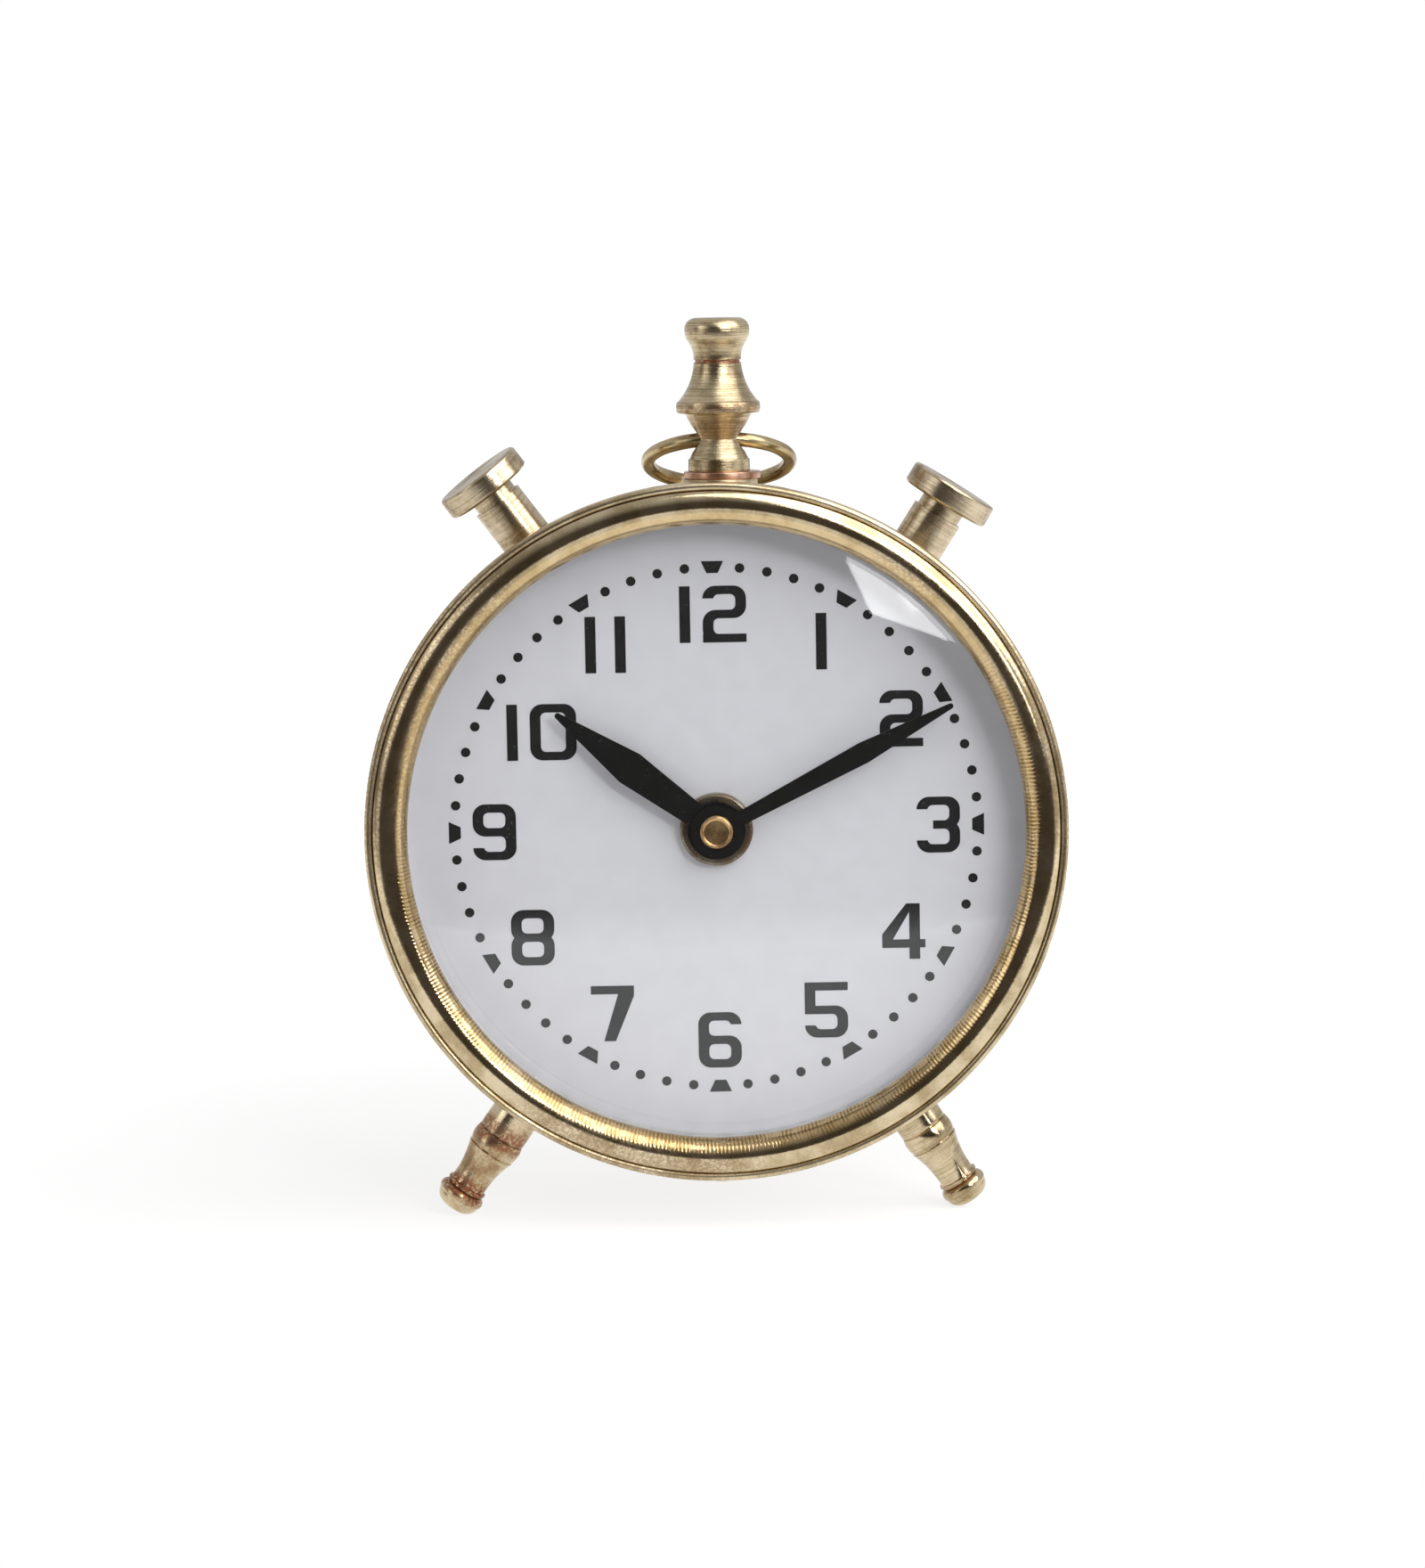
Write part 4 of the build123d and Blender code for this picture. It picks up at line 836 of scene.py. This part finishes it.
# Finial, turned in one piece, with a hole across its waist for the bow ring
finial_profile = outline(
    (0, stud_bottom),
    (stud_radius, stud_bottom),
    (stud_radius, washer_top),
    (finial_base_radius, washer_top),
    (finial_base_radius, finial_base_top),
    (finial_cone_radius, finial_base_top),
    (waist_radius, waist_height),
    (waist_top_radius, collar_bottom),
    (collar_radius, collar_bottom),
    (collar_radius, collar_top, 0.2),
    (collar_top_radius, collar_top),
    (finial_neck_radius, groove_bottom, -0.6),
    (groove_radius, groove_bottom),
    (groove_radius, neck_top),
    (finial_neck_radius, neck_top),
    (shoulder_radius, shoulder_height, -0.25),
    (crown_radius, crown_middle, 0.2),
    (finial_top_radius, finial_top, 0.55),
    (0, finial_top),
)
finial_points = divided(eased(finial_profile, 0.14), 0.4, washer_top, finial_top)
finial = lathe("finial", finial_points, finial_place, slices=160)
hole_arc = ring_radius - ring_wire_radius - ring_hole_clearance
hole_middle = ring_radius - hole_arc
hole_mouth = ring_radius - sqrt(hole_arc**2 - ring_hole_reach**2)
hole_profile = outline(
    (0, -ring_hole_reach),
    (hole_mouth, -ring_hole_reach),
    (hole_mouth, ring_hole_reach, -(hole_mouth - hole_middle)),
    (0, ring_hole_reach),
)
across = finial_place @ Matrix.Translation((0, 0, waist_height * mm)) @ Matrix.Rotation(pi / 2, 4, "Y")
drilled(finial, [lathe("cutter", hole_profile, across, slices=64)])
finial.data.set_sharp_from_angle(angle=sharp_angle)
piece_done(finial, brass_finial, "case", "brass", "finial")

# Washer and pedestal under the finial
washer_bore = stud_radius + washer_clearance
washer_profile = [
    (washer_bore, washer_bottom),
    (washer_radius, washer_bottom),
    (washer_radius, washer_top),
    (washer_bore, washer_top),
]
washer_place = finial_place @ Matrix.Translation((washer_shift * mm, 0, 0))
washer = lathe("washer", eased(washer_profile, 0.2, closed=True), washer_place, slices=120)
piece_done(washer, copper_washer, "case", "copper_washer", "finial_washer")
pedestal_profile = [
    (stud_radius + seat_gap, drum_radius),
    (washer_radius, drum_radius),
    (washer_radius, washer_bottom),
    (stud_radius + seat_gap, washer_bottom),
]
pedestal = lathe(
    "pedestal", eased(pedestal_profile, 0.15, closed=True), finial_place, slices=120,
    shift=saddled(saddle(finial_place, drum_radius + seat_gap), 0.0, drum_radius + 0.2),
)
piece_done(pedestal, brass_pedestal, "case", "brass", "finial_pedestal")

# Bow ring, bent from wire, with the joint of its ends on the left
ring_place = (
    finial_place
    @ Matrix.Translation((0, 0, waist_height * mm))
    @ Matrix.Rotation(radians(-ring_lie), 4, "X")
    @ Matrix.Translation((0, ring_radius * mm, 0))
)
wire_turns = [2 * pi * step / 40 for step in range(40)]
ring_profile = [
    (ring_radius + ring_wire_radius * cos(turn), ring_wire_radius * sin(turn)) for turn in wire_turns
]


def ring_joint(angle, length, radius, height):
    """A fine gap where the wire's ends meet, and a slight waviness of the wire."""
    dent = 0.16 * max(0.0, 1 - abs(angle - radians(196)) / 0.022)
    wave = 0.03 * sin(3 * angle + 0.6) + 0.015 * sin(11 * angle)
    scale = (wave - dent) / ring_wire_radius
    return ((radius - ring_radius) * scale, height * scale)


bow_ring = lathe("bow_ring", ring_profile, ring_place, slices=300, shift=ring_joint)
piece_done(bow_ring, brass_ring, "bow_ring", "brass", "bow_ring")

# Legs, each turned in one piece and screwed onto a stud. Their heights run from the foot upwards
foot_steps = [
    (0, 0),
    (foot_end_radius, 0),
    (foot_radius, foot_middle, foot_bulge),
    (ankle_radius, foot_top, foot_bulge),
]
ankle_steps = [
    (ankle_radius, bead_low),
    (bead_radius, bead_low),
    (bead_radius, bead_high),
    (ankle_radius, bead_high),
]
upper_steps = [
    (upper_groove_radius, upper_groove_low),
    (upper_groove_radius, upper_groove_high),
    (upper_bead_radius, upper_groove_high),
    (upper_bead_radius, upper_bead_top, 0.25),
    (top_groove_radius, upper_bead_top),
    (top_groove_radius, top_groove_high),
    (upper_bead_radius, top_groove_high),
]
for name, (angle, depth, flare_end) in legs.items():
    lean = radians(180 - abs(angle))
    dip = max(radius * sin(lean) - length * cos(lean) for radius, length in outline(*foot_steps))
    reach = (face_height - dip) / cos(lean)
    high = reach - drum_radius
    steps = foot_steps + ankle_steps + [(flare_radius, flare_end, -0.35)]
    if name != "rear":
        steps += upper_steps
    steps += [
        (steps[-1][0], high + 0.3),
        (stud_radius, high + 0.3),
        (stud_radius, reach - stud_bottom),
        (0, reach - stud_bottom),
    ]
    upside_down = Matrix.Rotation(pi, 4, "X")
    place = radial_frame(angle, depth) @ Matrix.Translation((0, 0, reach * mm)) @ upside_down
    profile = divided(eased(outline(*steps), 0.12), 0.4, 0, high)
    sit = saddle(place, drum_radius + seat_gap)
    seated = saddled(sit, high - 0.05, reach, stud_radius + 0.2)
    leg = lathe(f"{name}_leg_turned", profile, place, slices=140, shift=seated)
    piece_done(leg, brass_leg_left if name == "left" else brass_leg_right, "case", "brass", f"{name}_leg")


def coil(name, place, radius, wire, low, high, turns):
    """A wound spring with closed ends, as a tube along its wire."""
    heights = [0.0, 0.09, 0.3, 0.5, 0.7, 0.91, 1.0]
    stretches = len(heights) - 1
    count, around = 64 * turns, 14
    vertices, faces = [], []
    for index in range(count + 1):
        share = index / count
        where = share * stretches
        stretch = min(stretches - 1, int(where))
        rise = heights[stretch] + (heights[stretch + 1] - heights[stretch]) * (where - stretch)
        angle = 2 * pi * turns * share
        height = low + wire + (high - low - 2 * wire) * rise
        middle = Vector((radius * cos(angle), radius * sin(angle), height))
        out = Vector((cos(angle), sin(angle), 0))
        for step in range(around):
            swing = 2 * pi * step / around
            vertices.append((middle + out * wire * cos(swing) + Vector((0, 0, wire * sin(swing)))) * mm)
    for index in range(count):
        for step in range(around):
            after = (step + 1) % around
            low_row, high_row = index * around, (index + 1) * around
            faces.append((low_row + step, low_row + after, high_row + after, high_row + step))
    faces.append(tuple(reversed(range(around))))
    faces.append(tuple(count * around + step for step in range(around)))
    mesh = bpy.data.meshes.new(name)
    mesh.from_pydata(vertices, [], faces)
    mesh.update()
    outward(mesh)
    mesh.shade_smooth()
    return stood(name, mesh, place)


# Push-pieces: a knob on a rod that slides in a tube, against a spring
for side, (_, rise, _, _) in pushers.items():
    place = pusher_frame(side)
    shank_end = -shank_reach - rise
    rod_end = shank_end - rod_tail
    knob_profile = outline(
        (0, rod_end),
        (rod_radius, rod_end),
        (rod_radius, neck_bottom),
        (neck_radius, neck_bottom),
        (neck_radius, -head_half),
        (head_radius - head_edge, -head_half),
        (head_radius, -head_half + head_edge),
        (head_radius, head_half - head_edge),
        (head_radius - head_edge, head_half),
        (0, head_half),
    )
    knob_points = divided(eased(knob_profile, 0.12), 0.4, neck_bottom, head_half)
    knob = lathe(f"{side}_push_knob", knob_points, place, slices=160)
    piece_done(knob, brass_pusher, f"{side}_pusher", "brass", f"{side}_pusher")
    sit = saddle(place, drum_radius + seat_gap)
    low = sit(0, 0)
    tube_profile = outline(
        (shank_radius, low - 0.5),
        (tube_radius, low),
        (tube_radius, tube_top),
        (neck_radius + running_gap, tube_top),
        (neck_radius + running_gap, bore_floor),
        (rod_radius + running_gap, bore_floor),
        (rod_radius + running_gap, shank_end),
        (shank_radius, shank_end),
    )
    tube = lathe(
        f"{side}_push_tube", divided(tube_profile, 0.5, low + 0.1, tube_top), place, slices=120,
        shift=saddled(sit, low - 0.6, low + 0.1, shank_radius - 0.1),
    )
    piece_done(tube, brass_pusher, "case", "brass", f"{side}_pusher_tube")
    spring_ends = (bore_floor + seat_gap, neck_bottom - seat_gap)
    spring = coil(f"{side}_spring", place, spring_radius, spring_wire, *spring_ends, spring_turns)
    piece_done(spring, steel, "case", "steel", f"{side}_pusher_spring")
    way = place.to_3x3() @ Vector((0, 0, 1))
    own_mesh(spring)

# Dial nut and the minute hand's cap
nut_profile = outline(
    (bush_radius + seat_gap, -dial_front_depth),
    (dial_nut_radius, -dial_front_depth),
    (dial_nut_radius, -(dial_front_depth - dial_nut_height + dial_nut_edge)),
    (dial_nut_radius - dial_nut_edge, -(dial_front_depth - dial_nut_height)),
    (bush_radius + seat_gap, -(dial_front_depth - dial_nut_height)),
)
dial_nut = lathe("dial_nut_turned", eased(nut_profile, 0.1, closed=True), face_frame(), slices=160)
piece_done(dial_nut, brass_hub, "case", "nut_brass", "dial_nut")
cap_face = cap_depth + cap_rim_height
cap_profile = outline(
    (0, -(cap_face + cap_crown_thickness)),
    (cap_thread_radius + seat_gap, -(cap_face + cap_crown_thickness)),
    (cap_thread_radius + seat_gap, -minute_hand_depth),
    (cap_radius, -minute_hand_depth),
    (cap_radius, -(cap_depth + cap_rim_width)),
    (cap_radius - cap_rim_width, -cap_depth),
    (cap_radius - 2 * cap_rim_width, -cap_face),
    (0, -cap_face),
)
cap = lathe("hand_cap_turned", eased(cap_profile, 0.12), face_frame(), slices=120)
piece_done(cap, brass_cap, "minute_hand", "nut_brass", "hand_cap_nut")

# Back cover, with its pull lip and the notch for the rear leg's nut
cover_back = drum_back_depth + cover_thickness
cover_profile = outline(
    (0, -(drum_back_depth + cover_step_height)),
    (cover_step_radius - cover_step_height, -(drum_back_depth + cover_step_height)),
    (cover_step_radius, -drum_back_depth),
    (drum_bore - running_gap - cover_skirt_wall, -drum_back_depth),
    (drum_bore - running_gap - cover_skirt_wall, -(drum_back_depth - cover_skirt_length)),
    (drum_bore - running_gap, -(drum_back_depth - cover_skirt_length)),
    (drum_bore - running_gap, -drum_back_depth),
    (cover_radius, -drum_back_depth),
    (cover_radius, -cover_back),
    (cover_step_radius + cover_thickness / 2, -cover_back),
    (cover_step_radius + cover_thickness / 2 - cover_step_height, -(cover_back + cover_step_height)),
    (0, -(cover_back + cover_step_height)),
)
cover = lathe("cover", eased(cover_profile, 0.15), face_frame(), slices=360)


def block(name, low, high, round_by=0.0):
    """A box between two corners in the face's frame, as a mesh with rounded edges."""
    work = bmesh.new()
    bmesh.ops.create_cube(work, size=1.0)
    for vertex in work.verts:
        place = [(low[k] + high[k]) / 2 + vertex.co[k] * (high[k] - low[k]) for k in range(3)]
        vertex.co = Vector(place) * mm
    if round_by:
        edges = work.edges[:]
        bmesh.ops.bevel(work, geom=edges, offset=round_by * mm, segments=3, affect="EDGES", profile=0.5)
    mesh = bpy.data.meshes.new(name)
    work.to_mesh(mesh)
    work.free()
    return stood(name, mesh, face_frame())


notch = block(
    "cutter",
    (-cover_notch_half, -drum_bore, -drum_back_depth),
    (cover_notch_half, cover_notch_top, 0.0),
)
drilled(cover, [notch])
lip = block(
    "lip",
    (cover_radius - 1.5, -cover_lip_half, -cover_back),
    (cover_radius + cover_lip_reach, cover_lip_half, -drum_back_depth),
    round_by=0.3,
)
cover = joined("cover", [cover, lip])
cover.data.set_sharp_from_angle(angle=sharp_angle)
piece_done(cover, brass_cover, "back_cover", "brass", "back_cover")

# Carried-over nodes of the face
use("dial_plate", dial_white)
for name in ("hour_numerals", "hour_markers", "minute_dots"):
    use(name, print_black)
for name in ("hour_hand", "minute_hand"):
    use(name, hand_black, 0.08)
use("glass_spacer_ring", spacer_white)

# Carried-over nodes inside the case, seen through the open back
inside = {
    nut_brass: ("finial_nut", "leg_nuts", "pusher_nuts"),
    wheel_brass: ("minute_post_with_cannon_pinion",),
    wheel_plastic: (
        "hour_wheel_with_pipe", "motion_wheel", "setting_arbor", "setting_knob", "centre_wheel",
        "third_wheel", "second_wheel", "first_wheel", "rotor_arbor",
    ),
    case_plastic: (
        "movement_front_case", "movement_back_case", "coil_bobbin", "gear_plate", "train_bridge",
    ),
    rubber: ("rubber_washer",),
    steel: (
        "bridge_screws", "stator_plate", "coil_core", "battery_positive_contact",
        "battery_negative_contact", "left_pusher_clip", "right_pusher_clip", "quartz_crystal",
    ),
    magnet: ("rotor_magnet",),
    copper_wire: ("coil_winding",),
    board_green: ("circuit_board",),
    chip_black: ("controller_chip",),
    battery_wrap: ("battery",),
}
for material, names in inside.items():
    for name in names:
        use(name, material, 0.05)

# World: a room with bright bands at the sides, above and below, and dark in front, where the viewer
# stands. Mirror and glass rays see the room, diffuse rays an even grey, and the camera white
world = bpy.data.worlds.new("studio")
bpy.context.scene.world = world
sky = Graph(world, "ShaderNodeOutputWorld")
path = sky.node("ShaderNodeLightPath")
way = sky.split(sky.node("ShaderNodeTexCoord").outputs["Generated"])
right = sky.times(sky.spread(way[0], sin(radians(46)), sin(radians(60))), 0.85)
left = sky.times(sky.spread(way[0], -sin(radians(42)), -sin(radians(53))), 0.8)
far_left = sky.spread(way[0], -sin(radians(62)), -sin(radians(75)))
left = sky.times(left, sky.math("MULTIPLY_ADD", far_left, -0.75, 1.0))
above = sky.times(sky.spread(way[2], 0.25, 0.95), 0.5)
below = sky.times(sky.spread(way[2], -0.26, -0.34), 0.85)
brightest = sky.highest(right, left, above, below)
front = sky.mix(brightest, (0.075, 0.066, 0.06, 1), (1, 1, 1.01, 1))
room = sky.mix(sky.spread(way[1], -0.1, 0.2), front, (0.66, 0.66, 0.66, 1))
sharp = sky.highest(path.outputs["Is Glossy Ray"], path.outputs["Is Transmission Ray"])
by_ray = sky.mix(sharp, (0.3, 0.3, 0.3, 1), room)
by_camera = sky.mix(path.outputs["Is Camera Ray"], by_ray, (1, 1, 1, 1))
background = sky.node("ShaderNodeBackground")
sky.put(background.inputs["Color"], by_camera)
sky.put(sky.output.inputs["Surface"], background.outputs[0])


# Lamps
def lamp(name, matrix, width, height, radiance):
    """A rectangular area light of an even radiance, that shines along its own -z. Sizes are in metres."""
    data = bpy.data.lights.new(name, "AREA")
    data.shape = "RECTANGLE"
    data.size, data.size_y = width, height
    data.energy = radiance * pi * width * height
    stood(name, data, matrix)


def toward(azimuth, elevation):
    """A direction out from the clock. Azimuth is to the viewer's right, from the front."""
    side, rise = radians(azimuth), radians(elevation)
    return Vector((sin(side) * cos(rise), -cos(side) * cos(rise), sin(rise)))


def softbox(name, azimuth, elevation, distance, side, radiance):
    """A square lamp that faces the middle of the clock."""
    way_out = toward(azimuth, elevation)
    turn = way_out.to_track_quat("Z", "Y").to_matrix().to_4x4()
    middle = Vector((0, 0, face_height * mm)) + way_out * distance
    lamp(name, Matrix.Translation(middle) @ turn, side, side, radiance)


# The window makes the kite-shaped reflection in the glass. It stands by one corner, a metre from
# the glass, and by the ways from there along its low edge and its left edge. Lengths are in metres
window_side = 1.1
low_edge_distance = 1.12
left_edge_distance = 1.171
window_corner = toward(18.1, 15.9)
window_low = (low_edge_distance * toward(26.95, 12.2) - window_corner).normalized()
window_left = (left_edge_distance * toward(15.6, 22.4) - window_corner).normalized()
window_out = window_low.cross(window_left).normalized()
window_turn = Matrix((window_low, window_left, window_out)).transposed().to_4x4()
window_seen_in = placed(26, 0, 105)
window_middle = window_seen_in + window_corner + (window_low + window_left) * window_side / 2
lamp("window", Matrix.Translation(window_middle) @ window_turn, window_side, window_side, 7.5)
softbox("key_light", 50, 47, 1.2, 1.3, 2.5)
softbox("fill_light", -55, 20, 1.2, 0.6, 0.9)

# Floor: white to the eye, and it keeps the clock's shadow. Seen rays get a glow that grows outwards
floor_mesh = bpy.data.meshes.new("floor")
floor_mesh.from_pydata([(-3, -0.16, 0), (3, -0.16, 0), (3, 4, 0), (-3, 4, 0)], [], [(0, 1, 2, 3)])
floor = stood("floor", floor_mesh, Matrix())
graph = Graph(bpy.data.materials.new("floor_paper"))
path = graph.node("ShaderNodeLightPath")
seen = graph.highest(
    path.outputs["Is Camera Ray"], path.outputs["Is Glossy Ray"], path.outputs["Is Transmission Ray"]
)
paper = graph.node("ShaderNodeBsdfDiffuse")
graph.put(paper.inputs["Color"], graph.mix(seen, (0.9, 0.9, 0.9, 1), (0.25, 0.25, 0.25, 1)))
where = graph.node("ShaderNodeTexCoord").outputs["Object"]
far = graph.spread(graph.vector_length(where), 0.1, 0.3)
glow = graph.node("ShaderNodeEmission")
graph.put(glow.inputs["Strength"], graph.times(seen, graph.math("MULTIPLY_ADD", far, 0.18, 0.81)))
added = graph.node("ShaderNodeAddShader")
graph.put(added.inputs[0], paper.outputs[0])
graph.put(added.inputs[1], glow.outputs[0])
graph.put(graph.output.inputs["Surface"], added.outputs[0])
floor_mesh.materials.append(graph.owner)

# Camera, in metres and degrees: it looks a little down, and the picture leans by one degree
camera_data = bpy.data.cameras.new("camera")
camera_data.lens = 94.5
camera_data.sensor_width = 36.0
camera_place = (
    Matrix.Translation((0, -0.6992, 0.1623))
    @ Matrix.Rotation(radians(0.045), 4, "Z")
    @ Matrix.Rotation(radians(90 - 7.28), 4, "X")
    @ Matrix.Rotation(radians(-1.0), 4, "Z")
)
bpy.context.scene.camera = stood("camera", camera_data, camera_place)
bpy.context.scene.view_settings.view_transform = "Standard"
